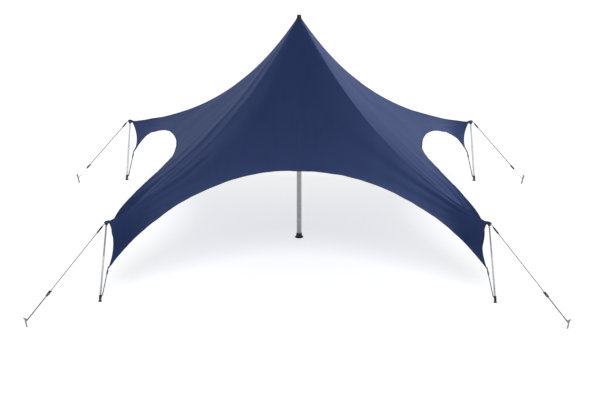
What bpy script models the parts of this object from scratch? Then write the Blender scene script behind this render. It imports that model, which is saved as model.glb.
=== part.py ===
"""Star tent: a tensioned four-pointed canopy on one mast, with corner legs, guys and stakes.

Metres, +Z up. The mast stands on the origin and the front faces -Y.
"""
import math

import bmesh
import bpy
import numpy as np
from mathutils import Matrix, Vector

# Canopy outline. Each corner has a tip, held on a leg, and a tail tied down to the leg's foot.
APEX_Z = 5.50          # top edge of the cloth
RING_R = 0.052         # radius of the cloth's top edge
TIP = (4.305, 3.97, 1.743)
TAIL = (4.31, 4.42, 0.762)
RIDGE_SAG = 1.60       # how fast the ridge flattens towards the tip
CORNER_HOLLOW = (0.107, 0.045)   # inward bow of the corner seam in X and Y
FRONT_CROWN = (3.045, 2.669)     # middle of a hem: distance from the mast's axis, and height
SIDE_CROWN = (2.982, 2.270)
# Handles of half a hem: along it at the middle; then at the tail, inward along it, inward across it, and up.
# The last two values are how far the hem is drawn in behind the corner seam, and let out above that.
FRONT_HEM = (1.175, 1.350, 0.600, 1.700, 0.0, 0.0)
BACK_HEM = (0.800, 0.750, 0.600, 1.645, 0.0, 0.0)
RIGHT_HEM_FRONT = (1.200, 0.800, 0.110, 1.600, 0.120, 0.150)
LEFT_HEM_FRONT = (1.735, 0.860, 0.100, 1.420, 0.120, 0.250)
SIDE_HEM_BACK = (2.800, 0.380, -0.045, 0.580, 0.050, 0.0)
TUCK_REACH = 0.40      # distance from the tail at which the hem is drawn in most
FULL_REACH = 1.20      # and let out most
HEM_STEPS = 200
CLOTH_T = 0.006
SEAM_GAP = 0.0005      # half of the gap that two neighbouring panels keep

# Grid of one panel
COLUMNS = 24
RIDGE_ROWS = 15
CORNER_ROWS = 4
FILM_PASSES = 8
HOOP_PULL = 4.0        # pull across a panel's top against the pull down it; they are even at the hem

# Mast
MAST_R = 0.0575
MAST_SPLIT_Z = 2.92
MAST_TOP_Z = 4.86
BASE_R = 0.105
BASE_T = 0.014
SOCKET_TOP_Z = 0.115
SOCKET_WALL = 0.008
SLEEVE_HALF = 0.13

# Corner legs
FOOT_XY = 4.50
LEG_HEAD = (4.352, 4.016, 1.735)
LEG_R = 0.0245
FOOT_R = 0.044
FOOT_PIVOT_Z = 0.045     # height at which the leg's line meets the foot's middle
FOOT_EYE_Z = 0.122       # height of the eye that takes the tail strap
FOOT_EYE_OUT = 0.046
FOOT_NOSE = 0.012
BUCKLE_L = 0.150
BUCKLE_W = 0.034
LEG_START = 0.075      # distance along the leg from the ground to the tube's lower end
LEG_STOP = 0.035       # distance from the head's centre down to the tube's upper end

# Guys and stakes
FRONT_STAKE = (6.00, -6.14)
BACK_STAKE = (5.71, 4.24)
STAKE_H = 0.225
STAKE_R = 0.018
STAKE_BAR = (0.017, 0.100)   # radius and length of the head bar
STAKE_LEAN = 0.24
HOOK_Z = 0.150
GUY_R = 0.009
HEAD_EYE = 0.052
HEAD_NOSE = 0.020
FRONT_GUY = (0.10, 0.32, 2.13, 2.33)   # sleeve start, sleeve end, ratchet start, ratchet end
BACK_GUY = (0.07, 0.23, 1.59, 1.75)
STRAP_W = 0.034
STRAP_T = 0.006

GAP = 0.0005


def clear_scene():
    for obj in list(bpy.data.objects):
        bpy.data.objects.remove(obj, do_unlink=True)


def material(name, colour, roughness, metallic):
    mat = bpy.data.materials.new(name)
    mat.use_nodes = True
    shader = mat.node_tree.nodes["Principled BSDF"]
    shader.inputs["Base Color"].default_value = (*colour, 1.0)
    shader.inputs["Roughness"].default_value = roughness
    shader.inputs["Metallic"].default_value = metallic
    return mat


def finish(bm, name, mat, smooth_deg=40.0):
    """Close off a bmesh as a named object with outward faces."""
    bmesh.ops.recalc_face_normals(bm, faces=bm.faces)
    if bm.calc_volume(signed=True) < 0:
        bmesh.ops.reverse_faces(bm, faces=bm.faces)
    mesh = bpy.data.meshes.new(name)
    bm.to_mesh(mesh)
    bm.free()
    obj = bpy.data.objects.new(name, mesh)
    bpy.context.collection.objects.link(obj)
    mesh.shade_smooth()
    mesh.set_sharp_from_angle(angle=math.radians(smooth_deg))
    mesh.materials.append(mat)
    return obj


def aim(start, end, side=None):
    """Matrix that puts +Z along start to end; side is the wanted direction of +X."""
    z = (Vector(end) - Vector(start)).normalized()
    hint = Vector(side) if side is not None else Vector((1.0, 0.0, 0.0))
    if abs(hint.normalized().dot(z)) > 0.98:
        hint = Vector((0.0, 1.0, 0.0))
    x = (hint - z * hint.dot(z)).normalized()
    y = z.cross(x)
    turn = Matrix((x, y, z)).transposed().to_4x4()
    return Matrix.Translation(Vector(start)) @ turn


def turned_mesh(profile, place, steps=24):
    """Turn a closed (radius, height) profile about +Z."""
    bm = bmesh.new()
    verts = [bm.verts.new((r, 0.0, z)) for r, z in profile]
    loop = verts if profile[0][0] > 0 and profile[-1][0] > 0 else None
    edges = [bm.edges.new(pair) for pair in zip(verts[:-1], verts[1:])]
    if loop:
        edges.append(bm.edges.new((verts[-1], verts[0])))
    bmesh.ops.spin(
        bm, geom=verts + edges, cent=(0, 0, 0), axis=(0, 0, 1),
        angle=math.tau, steps=steps, use_merge=True, use_duplicate=False,
    )
    bmesh.ops.remove_doubles(bm, verts=bm.verts, dist=1e-6)
    bmesh.ops.transform(bm, matrix=place, verts=bm.verts)
    return bm


def turned(name, profile, place, mat, steps=24):
    return finish(turned_mesh(profile, place, steps), name, mat)


def rod(name, start, end, radius, mat, steps=16):
    length = (Vector(end) - Vector(start)).length
    return turned(name, [(0, 0), (radius, 0), (radius, length), (0, length)], aim(start, end), mat, steps)


def block_mesh(start, end, width, depth, side, bevel=0.0):
    """A box from start to end, width along side and depth across it."""
    length = (Vector(end) - Vector(start)).length
    bm = bmesh.new()
    bmesh.ops.create_cube(bm, size=1.0)
    bmesh.ops.transform(
        bm,
        matrix=Matrix.Translation((0, 0, length / 2)) @ Matrix.Diagonal((width, depth, length, 1)),
        verts=bm.verts,
    )
    if bevel > 0:
        bmesh.ops.bevel(bm, geom=bm.edges[:], offset=bevel, segments=1, affect="EDGES")
    bmesh.ops.transform(bm, matrix=aim(start, end, side), verts=bm.verts)
    return bm


def block(name, start, end, width, depth, side, mat, bevel=0.0):
    return finish(block_mesh(start, end, width, depth, side, bevel), name, mat)


def fuse(obj, pieces):
    """Union hidden pieces into obj with Boolean modifiers."""
    for n, bm in enumerate(pieces):
        tool = finish(bm, f"{obj.name}_join{n}", obj.data.materials[0])
        tool.hide_render = True
        tool.display_type = "WIRE"
        mod = obj.modifiers.new(f"join{n}", "BOOLEAN")
        mod.operation = "UNION"
        mod.solver = "EXACT"
        mod.object = tool


# Canopy

def ridge_height(share):
    """Height along a ridge, from the mast (0) to the tip (1)."""
    fall = (math.exp(-RIDGE_SAG * share) - math.exp(-RIDGE_SAG)) / (1 - math.exp(-RIDGE_SAG))
    return TIP[2] + (APEX_Z - TIP[2]) * fall


def panel_edge(tip, tail, hollow):
    """Points down one long edge of a panel: the ridge, then the corner seam."""
    reach = math.hypot(*tip)
    points = []
    for j in range(RIDGE_ROWS + 1):
        share = (j / RIDGE_ROWS) ** 1.12
        r = RING_R + (reach - RING_R) * share
        points.append((tip[0] / reach * r, tip[1] / reach * r, ridge_height(share)))
    for j in range(1, CORNER_ROWS + 1):
        t = j / CORNER_ROWS
        bow = 4 * t * (1 - t)
        points.append((
            tip[0] + (tail[0] - tip[0]) * t - hollow[0] * bow,
            tip[1] + (tail[1] - tip[1]) * t - hollow[1] * bow,
            TIP[2] + (TAIL[2] - TIP[2]) * t,
        ))
    return np.array(points)


def half_hem(shares, tail, crown, hem):
    """Points of half a hem, at shares of its length from its middle (0) to the tail (1)."""
    reach, inward, back, rise, tuck, full = hem
    middle = np.array((0.0, *crown))
    end = np.array((*tail, TAIL[2]))
    near = middle + np.array((reach, 0.0, 0.0))
    far = end + np.array((-inward, -back, rise))
    t = np.linspace(0.0, 1.0, HEM_STEPS + 1)[:, None]
    curve = (1 - t) ** 3 * middle + 3 * (1 - t) ** 2 * t * near + 3 * (1 - t) * t * t * far + t ** 3 * end
    run = np.concatenate([[0.0], np.cumsum(np.linalg.norm(np.diff(curve, axis=0), axis=1))])
    near_tail = (run[-1] - run) / TUCK_REACH
    curve[:, 1] -= tuck * near_tail * np.exp(0.5 * (1 - near_tail ** 2))
    above_tail = ((run[-1] - run) / FULL_REACH) ** 2
    curve[:, 1] += full * above_tail * np.exp(1 - above_tail)
    return np.stack([np.interp(shares * run[-1], run, curve[:, k]) for k in range(3)], 1)


def panel_film(tip, tail, hollow, crown, hems):
    """Grid [row][column] of (across, outward, up) points of one taut panel.

    The outline is fixed; the inside is relaxed until it is taut. hems are its two halves, the one at
    negative across first.
    """
    rows = RIDGE_ROWS + CORNER_ROWS
    edge = panel_edge(tip, tail, hollow)
    across = np.linspace(-1.0, 1.0, COLUMNS + 1)
    swing = math.atan2(tip[0], tip[1])
    top = np.stack([
        RING_R * np.sin(across * swing), RING_R * np.cos(across * swing),
        np.full(COLUMNS + 1, APEX_Z),
    ], 1)
    half = COLUMNS // 2
    hem = np.concatenate([
        half_hem(-across[:half], tail, crown, hems[0]) * (-1, 1, 1),
        half_hem(across[half:], tail, crown, hems[1]),
    ])
    grid = np.zeros((rows + 1, COLUMNS + 1, 3))
    for j in range(rows + 1):
        v = j / rows
        for i in range(COLUMNS + 1):
            u = (across[i] + 1) / 2
            left = edge[j] * (-1, 1, 1)
            right = edge[j]
            corners = (1 - v) * ((1 - u) * top[0] + u * top[-1]) + v * ((1 - u) * hem[0] + u * hem[-1])
            grid[j, i] = (1 - u) * left + u * right + (1 - v) * top[i] + v * hem[i] - corners
    return relax(grid)


def relax(grid):
    """Move the inner points until the pulls in the cloth balance; the outline stays."""
    rows, cols = grid.shape[:2]
    index = np.arange(rows * cols).reshape(rows, cols)
    row_of = np.repeat(np.arange(rows), cols)
    hoop = 1 + (HOOP_PULL - 1) * (1 - row_of / (rows - 1)) ** 2
    a, b = index[:-1, :-1].ravel(), index[:-1, 1:].ravel()
    d, c = index[1:, :-1].ravel(), index[1:, 1:].ravel()
    faces = np.concatenate([
        np.stack([a, b, c], 1), np.stack([a, c, d], 1),
        np.stack([a, b, d], 1), np.stack([b, c, d], 1),
    ])
    inner = index[1:-1, 1:-1].ravel()
    rim = np.setdiff1d(index.ravel(), inner)
    points = grid.reshape(-1, 3).copy()
    for _ in range(FILM_PASSES):
        pull = np.zeros((len(points), len(points)))
        for k in range(3):
            p, q, r = faces[:, k], faces[:, (k + 1) % 3], faces[:, (k + 2) % 3]
            e, f = points[q] - points[p], points[r] - points[p]
            cot = (e * f).sum(1) / np.maximum(np.linalg.norm(np.cross(e, f), axis=1), 1e-9)
            weight = np.clip(cot, 0.02, 8.0) * np.where(row_of[q] == row_of[r], hoop[q], 1.0)
            np.add.at(pull, (q, r), weight)
            np.add.at(pull, (r, q), weight)
        full = np.diag(pull.sum(1)) - pull
        known = -full[np.ix_(inner, rim)] @ points[rim]
        points[inner] = np.linalg.solve(full[np.ix_(inner, inner)], known)
    return points.reshape(rows, cols, 3)


def grid_normals(grid):
    """Outward normals of a panel grid given in (across, outward, up)."""
    down = np.gradient(grid, axis=0)
    side = np.gradient(grid, axis=1)
    normal = np.cross(side, -down)
    normal /= np.linalg.norm(normal, axis=2, keepdims=True)
    if normal[grid.shape[0] // 2, grid.shape[1] // 2] @ np.array((0, 1, 0.5)) < 0:
        normal = -normal
    return normal


def swap(points):
    """Same corner seen from the neighbouring panel: across and outward change places."""
    return points[..., [1, 0, 2]]


def mirrored(grid):
    return grid[:, ::-1] * (-1, 1, 1)


def panel_shell(grid, before, after):
    """Outer and inner grids of a panel that lies between the panels before and after it round the mast."""
    outer, inner = grid.copy(), grid.copy()
    normal = grid_normals(grid)
    inner -= CLOTH_T * normal
    for col, flip, other in ((-1, 1.0, mirrored(after)), (0, -1.0, before)):
        other_edge = swap(grid_normals(other)[:, -1])
        mirror = np.array((flip, 1.0, 1.0))
        mitre = -(normal[:, col] * mirror + other_edge)
        mitre /= np.linalg.norm(mitre, axis=1, keepdims=True)
        run = np.gradient(grid[:, col] * mirror, axis=0)
        away = np.cross(run, mitre)
        away /= np.linalg.norm(away, axis=1, keepdims=True)
        inward = (grid[:, col - 1 if col else 1] - grid[:, col]) * mirror
        away *= np.sign((away * inward).sum(1, keepdims=True))
        lean = np.clip(-(mitre * normal[:, col] * mirror).sum(1, keepdims=True), 0.6, 1.0)
        outer[:, col] = grid[:, col] + SEAM_GAP * away * mirror
        inner[:, col] = outer[:, col] + CLOTH_T / lean * mitre * mirror
    return outer, inner


def canopy_panel(name, shell, turn, mat):
    outer, inner = shell
    rows, cols = outer.shape[:2]
    bm = bmesh.new()

    def world(p):
        s, d, z = p
        return (turn[0][0] * s + turn[0][1] * d, turn[1][0] * s + turn[1][1] * d, z)

    over = [[bm.verts.new(world(outer[j, i])) for i in range(cols)] for j in range(rows)]
    under = [[bm.verts.new(world(inner[j, i])) for i in range(cols)] for j in range(rows)]
    for j in range(rows - 1):
        for i in range(cols - 1):
            left_half = i < (cols - 1) // 2
            for layer, side in ((over, 1), (under, -1)):
                p, q = layer[j][i], layer[j][i + 1]
                r, s = layer[j + 1][i + 1], layer[j + 1][i]
                tris = ((p, q, s), (q, r, s)) if left_half else ((p, q, r), (p, r, s))
                for tri in tris:
                    bm.faces.new(tri[::side])
    for col in (0, cols - 1):
        for j in range(rows - 1):
            bm.faces.new((over[j][col], under[j + 1][col], under[j][col]))
            bm.faces.new((over[j][col], over[j + 1][col], under[j + 1][col]))
    for row in (0, rows - 1):
        for i in range(cols - 1):
            bm.faces.new((over[row][i], over[row][i + 1], under[row][i + 1], under[row][i]))
    return finish(bm, name, mat, 60.0)


def build_canopy(mat):
    front, back = (panel_film(TIP[:2], TAIL[:2], CORNER_HOLLOW, FRONT_CROWN, (hem, hem))
                   for hem in (FRONT_HEM, BACK_HEM))
    right, left = (panel_film(TIP[1::-1], TAIL[1::-1], CORNER_HOLLOW[::-1], SIDE_CROWN, (hem, SIDE_HEM_BACK))
                   for hem in (RIGHT_HEM_FRONT, LEFT_HEM_FRONT))
    left = mirrored(left)
    front_shell = panel_shell(front, left, right)
    right_shell = panel_shell(right, front, back)
    back_shell = panel_shell(back, right, left)
    left_shell = panel_shell(left, back, front)
    canopy_panel("canopy_front", front_shell, ((1, 0), (0, -1)), mat["front"])
    canopy_panel("canopy_right", right_shell, ((0, 1), (1, 0)), mat["right"])
    canopy_panel("canopy_back", back_shell, ((-1, 0), (0, 1)), mat["back"])
    canopy_panel("canopy_left", left_shell, ((0, -1), (-1, 0)), mat["left"])
    front_corner = [*(g[-1, -1] for g in front_shell), *(swap(g[-1, -1]) for g in left_shell)]
    back_corner = [*(g[-1, -1] for g in back_shell), *(swap(g[-1, -1]) for g in right_shell)]
    return front_corner, back_corner


# Mast

def build_mast(mat):
    bore = MAST_R + GAP
    up = Matrix.Identity(4)
    turned("mast_base", [
        (0, 0), (BASE_R, 0), (BASE_R, BASE_T - 0.003), (BASE_R - 0.003, BASE_T),
        (bore + SOCKET_WALL + 0.006, BASE_T), (bore + SOCKET_WALL, BASE_T + 0.006),
        (bore + SOCKET_WALL, SOCKET_TOP_Z), (bore, SOCKET_TOP_Z), (bore, BASE_T), (0, BASE_T),
    ], up, mat["black"], 28)
    rod("mast_lower", (0, 0, BASE_T + GAP), (0, 0, MAST_SPLIT_Z), MAST_R, mat["mast"], 28)
    rod("mast_upper", (0, 0, MAST_SPLIT_Z + GAP), (0, 0, MAST_TOP_Z), MAST_R, mat["mast"], 28)
    turned("mast_joint_sleeve", [
        (bore, MAST_SPLIT_Z - SLEEVE_HALF), (bore + 0.004, MAST_SPLIT_Z - SLEEVE_HALF),
        (bore + 0.005, MAST_SPLIT_Z - SLEEVE_HALF + 0.001),
        (bore + 0.005, MAST_SPLIT_Z + SLEEVE_HALF - 0.001),
        (bore + 0.004, MAST_SPLIT_Z + SLEEVE_HALF), (bore, MAST_SPLIT_Z + SLEEVE_HALF),
    ], up, mat["steel"], 28)
    crown_z = MAST_TOP_Z + GAP
    turned("mast_crown", [
        (0, crown_z), (MAST_R, crown_z), (MAST_R, crown_z + 0.05), (0.036, crown_z + 0.16),
        (0.026, crown_z + 0.34), (0.026, APEX_Z - 0.02), (0, APEX_Z - 0.02),
    ], up, mat["steel"], 28)
    rim_z = APEX_Z + GAP
    turned("apex_cap", [
        (0, APEX_Z - 0.02 + GAP), (0.028, APEX_Z - 0.02 + GAP), (0.028, rim_z), (0.056, rim_z),
        (0.056, rim_z + 0.012), (0.050, rim_z + 0.030), (0.040, rim_z + 0.052),
        (0.024, rim_z + 0.068), (0, rim_z + 0.074),
    ], up, mat["black"], 28)


# Corner legs

def corner_signs():
    return (("front_right", 1, -1), ("back_right", 1, 1), ("back_left", -1, 1), ("front_left", -1, -1))


def guy_run(sx, sy):
    """Where a guy leaves the leg's head, its direction, and its stake's foot, lean and hook."""
    head = Vector((sx * LEG_HEAD[0], sy * LEG_HEAD[1], LEG_HEAD[2]))
    stake_xy = FRONT_STAKE if sy < 0 else BACK_STAKE
    base = Vector((sx * stake_xy[0], stake_xy[1], 0.0))
    away = Vector((base.x - head.x, base.y - head.y, 0.0)).normalized()
    eye = head + away * HEAD_EYE
    lean = (away * STAKE_LEAN + Vector((0, 0, 1))).normalized()
    hook = base + lean * (HOOK_Z / lean.z) - away * (STAKE_R + 0.010)
    return eye, (hook - eye).normalized(), base, away, lean, hook


def build_leg(tag, sx, sy, mat):
    foot = Vector((sx * FOOT_XY, sy * FOOT_XY, 0.0))
    head = Vector((sx * LEG_HEAD[0], sy * LEG_HEAD[1], LEG_HEAD[2]))
    tip = Vector((sx * TIP[0], sy * TIP[1], TIP[2]))
    up = (head - foot).normalized()
    pivot = foot + Vector((0, 0, FOOT_PIVOT_Z))
    start = pivot + up * (LEG_START - FOOT_PIVOT_Z)
    stop = head - up * LEG_STOP
    axis = (stop - start).normalized()
    rod(f"leg_{tag}", start, stop, LEG_R, mat["leg"], 16)

    bore = LEG_R + GAP
    base = turned(f"foot_{tag}", [
        (0, 0), (FOOT_R, 0), (FOOT_R, 0.012), (FOOT_R - 0.005, 0.017), (0.030, 0.024),
        (0.024, 0.034), (0.024, 0.050), (0, 0.050),
    ], Matrix.Translation(foot), mat["black"], 16)
    cup_floor = start - axis * GAP
    cup = turned_mesh([
        (0, -0.032), (0.022, -0.032), (bore + 0.007, -0.012), (bore + 0.007, 0.076),
        (bore + 0.005, 0.078), (bore, 0.078), (bore, 0.0), (0, 0.0),
    ], aim(cup_floor, stop), 16)
    anchor, along, pull = tail_run(sx, sy)
    rib = block_mesh(anchor - pull * (FOOT_EYE_OUT - bore - 0.003), anchor, 0.020, 0.018, (0, 0, 1), 0.002)
    stub = block_mesh(anchor + along * 0.008, anchor - along * (FOOT_NOSE - GAP), 0.024, 0.010, pull)
    fuse(base, [cup, rib, stub])

    cap = turned(f"head_{tag}", [
        (bore, -0.058), (bore + 0.009, -0.058), (bore + 0.010, -0.052), (bore + 0.010, 0.012),
        (bore + 0.004, 0.021), (0, 0.025), (0, -LEG_STOP + GAP), (bore, -LEG_STOP + GAP),
    ], aim(head, head + axis), mat["black"], 16)
    inner = tip - head
    inner_len = inner.length
    inner.normalize()
    lug = block_mesh(
        head, head + inner * (inner_len - GAP), 0.040, 0.012, inner.cross(Vector((0, 0, 1))), 0.002,
    )
    eye, along = guy_run(sx, sy)[:2]
    arm = block_mesh(head, eye, 0.014, 0.030, (0, 0, 1), 0.002)
    nose = block_mesh(eye - along * 0.004, eye + along * (HEAD_NOSE - GAP), 0.024, 0.012, (-sy, sx, 0))
    fuse(cap, [lug, arm, nose])


def tail_run(sx, sy):
    """The foot's eye for the tail strap, the way down to it from the tail, and the eye's side of the leg."""
    foot = Vector((sx * FOOT_XY, sy * FOOT_XY, 0.0))
    pivot = foot + Vector((0, 0, FOOT_PIVOT_Z))
    head = Vector((sx * LEG_HEAD[0], sy * LEG_HEAD[1], LEG_HEAD[2]))
    tail = Vector((sx * TAIL[0], sy * TAIL[1], TAIL[2]))
    on_leg = pivot.lerp(head, (FOOT_EYE_Z - FOOT_PIVOT_Z) / (LEG_HEAD[2] - FOOT_PIVOT_Z))
    pull = Vector((tail.x - foot.x, tail.y - foot.y, 0.0)).normalized()
    anchor = on_leg + pull * FOOT_EYE_OUT
    return anchor, (anchor - tail).normalized(), pull


def build_tail_tie(tag, sx, sy, corner, mat):
    """Buckle and strap from the cloth's tail down to the foot; corner holds the tail's end points."""
    anchor, along, pull = tail_run(sx, sy)
    tail = Vector((sx * TAIL[0], sy * TAIL[1], TAIL[2]))
    reach = max((Vector((sx * p[0], sy * p[1], p[2])) - tail).dot(along) for p in corner)
    top = tail + along * (reach + GAP)
    low = top + along * BUCKLE_L
    block(f"tail_buckle_{tag}", top, low, BUCKLE_W, 0.018, pull, mat["black"], 0.004)
    block(f"tail_strap_{tag}", low + along * GAP, anchor - along * FOOT_NOSE, 0.024, 0.005, pull, mat["strap"])


def build_guy(tag, sx, sy, mat):
    eye, along, base, away, lean, hook = guy_run(sx, sy)
    marks = FRONT_GUY if sy < 0 else BACK_GUY
    flat = along.cross(Vector((0, 0, 1))).normalized()

    rod(f"guy_line_{tag}", eye + along * HEAD_NOSE, eye + along * (marks[2] - GAP), GUY_R, mat["line"], 10)
    bore = GUY_R + GAP
    turned(f"guy_sleeve_{tag}", [
        (bore, 0), (0.015, 0), (0.019, 0.020), (0.021, 0.06),
        (0.021, marks[1] - marks[0] - 0.05), (0.015, marks[1] - marks[0]), (bore, marks[1] - marks[0]),
    ], aim(eye + along * marks[0], hook), mat["black"], 12)
    block(f"ratchet_{tag}", eye + along * marks[2], eye + along * marks[3],
          0.052, 0.046, flat, mat["black"], 0.008)
    block(f"guy_strap_{tag}", eye + along * (marks[3] + GAP), hook, STRAP_W, STRAP_T, flat, mat["strap"])

    shaft_top = base + lean * (STAKE_H / lean.z)
    stake = turned(f"stake_{tag}", [
        (0, -0.08), (STAKE_R, -0.08), (STAKE_R, (shaft_top - base).length), (0, (shaft_top - base).length),
    ], aim(base, shaft_top), mat["steel"], 16)
    across = lean.cross(away).normalized()
    bar_r, bar_l = STAKE_BAR
    bar_mid = shaft_top - lean * (bar_r - 0.002)
    head_bar = turned_mesh(
        [(0, 0), (bar_r - 0.001, 0), (bar_r, 0.001), (bar_r, bar_l - 0.001), (bar_r - 0.001, bar_l), (0, bar_l)],
        aim(bar_mid - across * bar_l / 2, bar_mid + across * bar_l / 2), 16,
    )
    lug = block_mesh(hook + along * GAP, hook + along * 0.022, STRAP_W, 0.012, flat)
    fuse(stake, [head_bar, lug])
    ground = finish(
        block_mesh(base - Vector((0, 0, 0.20)), base, 0.20, 0.20, (1, 0, 0)),
        f"stake_{tag}_ground", mat["steel"],
    )
    ground.hide_render = True
    ground.display_type = "WIRE"
    trim = stake.modifiers.new("ground", "BOOLEAN")
    trim.operation = "DIFFERENCE"
    trim.solver = "EXACT"
    trim.object = ground


def main():
    clear_scene()
    mats = {
        "front": material("navy cloth front", (0.019, 0.034, 0.092), 0.48, 0.0),
        "right": material("navy cloth right", (0.040, 0.060, 0.150), 0.48, 0.0),
        "back": material("navy cloth back", (0.019, 0.034, 0.092), 0.48, 0.0),
        "left": material("navy cloth left", (0.030, 0.047, 0.120), 0.48, 0.0),
        "black": material("black moulding", (0.012, 0.012, 0.014), 0.45, 0.0),
        "mast": material("grey aluminium mast", (0.42, 0.43, 0.45), 0.38, 1.0),
        "leg": material("grey aluminium leg", (0.40, 0.41, 0.43), 0.38, 1.0),
        "steel": material("galvanised steel", (0.36, 0.37, 0.38), 0.42, 1.0),
        "strap": material("grey webbing", (0.24, 0.25, 0.27), 0.75, 0.0),
        "line": material("grey guy line", (0.30, 0.31, 0.33), 0.70, 0.0),
    }
    front_corner, back_corner = build_canopy(mats)
    build_mast(mats)
    for tag, sx, sy in corner_signs():
        build_leg(tag, sx, sy, mats)
        build_tail_tie(tag, sx, sy, front_corner if sy < 0 else back_corner, mats)
        build_guy(tag, sx, sy, mats)


main()
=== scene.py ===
import math

import bmesh
import bpy
import numpy as np
from mathutils import Matrix, Vector


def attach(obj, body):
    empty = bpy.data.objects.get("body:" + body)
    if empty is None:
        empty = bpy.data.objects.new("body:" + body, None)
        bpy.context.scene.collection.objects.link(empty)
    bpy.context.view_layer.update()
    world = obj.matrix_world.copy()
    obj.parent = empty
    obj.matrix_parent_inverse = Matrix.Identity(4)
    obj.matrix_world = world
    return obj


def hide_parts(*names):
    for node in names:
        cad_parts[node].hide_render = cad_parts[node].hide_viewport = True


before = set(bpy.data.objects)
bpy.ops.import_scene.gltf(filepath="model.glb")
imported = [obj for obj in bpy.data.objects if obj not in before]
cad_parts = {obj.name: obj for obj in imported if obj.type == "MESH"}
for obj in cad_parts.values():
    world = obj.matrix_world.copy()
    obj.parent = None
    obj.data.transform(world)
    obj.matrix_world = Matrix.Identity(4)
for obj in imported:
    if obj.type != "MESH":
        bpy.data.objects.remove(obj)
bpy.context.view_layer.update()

scene = bpy.context.scene
up = Vector((0, 0, 1))


# camera, placed for a 600 x 400 frame
view = {"place": (0.478, -62.30, 21.65), "down": 18.379, "left": 0.420, "lens": 162.5}

cameraData = bpy.data.cameras.new("camera")
cameraData.sensor_width = 36.0
cameraData.lens = view["lens"]
cameraData.clip_start = 0.5
cameraData.clip_end = 900.0
camera = bpy.data.objects.new("camera", cameraData)
camera.location = view["place"]
camera.rotation_euler = (math.radians(90 - view["down"]), 0, math.radians(view["left"]))
scene.collection.objects.link(camera)
scene.camera = camera


# small tools for materials
def linear(hexColour):
    parts = [int(hexColour[i:i + 2], 16) / 255 for i in (1, 3, 5)]
    return (*(c / 12.92 if c <= 0.04045 else ((c + 0.055) / 1.055) ** 2.4 for c in parts), 1.0)


def addNode(tree, kind, settings=None, values=None, links=None):
    node = tree.nodes.new(kind)
    for key, value in (settings or {}).items():
        setattr(node, key, value)
    for key, value in (values or {}).items():
        node.inputs[key].default_value = value
    for key, source in (links or {}).items():
        tree.links.new(source, node.inputs[key])
    return node


def startMaterial(name, shaderValues):
    material = bpy.data.materials.new(name)
    material.use_nodes = True
    shader = material.node_tree.nodes["Principled BSDF"]
    for key, value in shaderValues.items():
        shader.inputs[key].default_value = value
    place = addNode(material.node_tree, "ShaderNodeTexCoord").outputs["Object"]
    return material, material.node_tree, shader, place


def twoTone(tree, shader, factor, dark, light, low=0.35, high=0.65):
    ramp = addNode(tree, "ShaderNodeValToRGB", links={"Fac": factor})
    first, last = ramp.color_ramp.elements
    first.position, first.color = low, linear(dark)
    last.position, last.color = high, linear(light)
    tree.links.new(ramp.outputs["Color"], shader.inputs["Base Color"])


def roughBetween(tree, shader, value, low, high):
    ranged = addNode(tree, "ShaderNodeMapRange", values={"To Min": low, "To Max": high}, links={"Value": value})
    tree.links.new(ranged.outputs["Result"], shader.inputs["Roughness"])


def bumped(tree, shader, heights):
    # heights: (socket, strength, distance in metres), laid over each other
    last = None
    for height, strength, distance in heights:
        bump = addNode(tree, "ShaderNodeBump", values={"Strength": strength, "Distance": distance},
                       links={"Height": height})
        if last:
            tree.links.new(last.outputs["Normal"], bump.inputs["Normal"])
        last = bump
    tree.links.new(last.outputs["Normal"], shader.inputs["Normal"])


# coated polyester cloth, woven and calendered: a matt navy with a soft pale sheen at a slant,
# faint cloudiness, long soft streaks down each panel, and a fine plain weave
def makeCloth(name, dark, light, threadPitch):
    material, tree, shader, place = startMaterial(name, {
        "Roughness": 0.74, "IOR": 1.45, "Specular IOR Level": 0.30, "Sheen Weight": 0.05, "Sheen Roughness": 0.40,
        "Sheen Tint": linear("#a3b4dc"),
    })
    cloth = addNode(tree, "ShaderNodeUVMap", {"uv_map": "surface"})
    clouds = addNode(tree, "ShaderNodeTexNoise", values={"Scale": 0.9, "Detail": 5.0, "Roughness": 0.6},
                     links={"Vector": place})
    stretch = addNode(tree, "ShaderNodeMapping", values={"Scale": (7.0, 0.55, 1.0)},
                      links={"Vector": cloth.outputs["UV"]})
    streaks = addNode(tree, "ShaderNodeTexNoise", values={"Scale": 1.0, "Detail": 4.0, "Roughness": 0.55},
                      links={"Vector": stretch.outputs["Vector"]})
    tone = addNode(tree, "ShaderNodeMath", {"operation": "ADD", "use_clamp": True},
                   links={0: clouds.outputs["Fac"], 1: streaks.outputs["Fac"]})
    half = addNode(tree, "ShaderNodeMath", {"operation": "MULTIPLY"}, {1: 0.5}, {0: tone.outputs[0]})
    twoTone(tree, shader, half.outputs[0], dark, light, 0.30, 0.72)
    # the real thread is 0.5 mm; drawn coarser so that it shows
    waveScale = 0.314 / threadPitch
    warp = addNode(tree, "ShaderNodeTexWave", {"bands_direction": "X"}, {"Scale": waveScale},
                   {"Vector": cloth.outputs["UV"]})
    weft = addNode(tree, "ShaderNodeTexWave", {"bands_direction": "Y"}, {"Scale": waveScale},
                   {"Vector": cloth.outputs["UV"]})
    weave = addNode(tree, "ShaderNodeMath", {"operation": "MULTIPLY"},
                    links={0: warp.outputs["Fac"], 1: weft.outputs["Fac"]})
    creaseRun = addNode(tree, "ShaderNodeMapping", values={"Scale": (3.2, 1.1, 1.0)},
                        links={"Vector": cloth.outputs["UV"]})
    creases = addNode(tree, "ShaderNodeTexNoise", {"noise_type": "RIDGED_MULTIFRACTAL"},
                      {"Scale": 1.0, "Detail": 3.0, "Roughness": 0.5, "Distortion": 0.6},
                      {"Vector": creaseRun.outputs["Vector"]})
    roughBetween(tree, shader, streaks.outputs["Fac"], 0.68, 0.82)
    bumped(tree, shader, [(creases.outputs["Fac"], 0.45, 0.010), (weave.outputs[0], 0.22, threadPitch * 0.25)])
    return material


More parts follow.
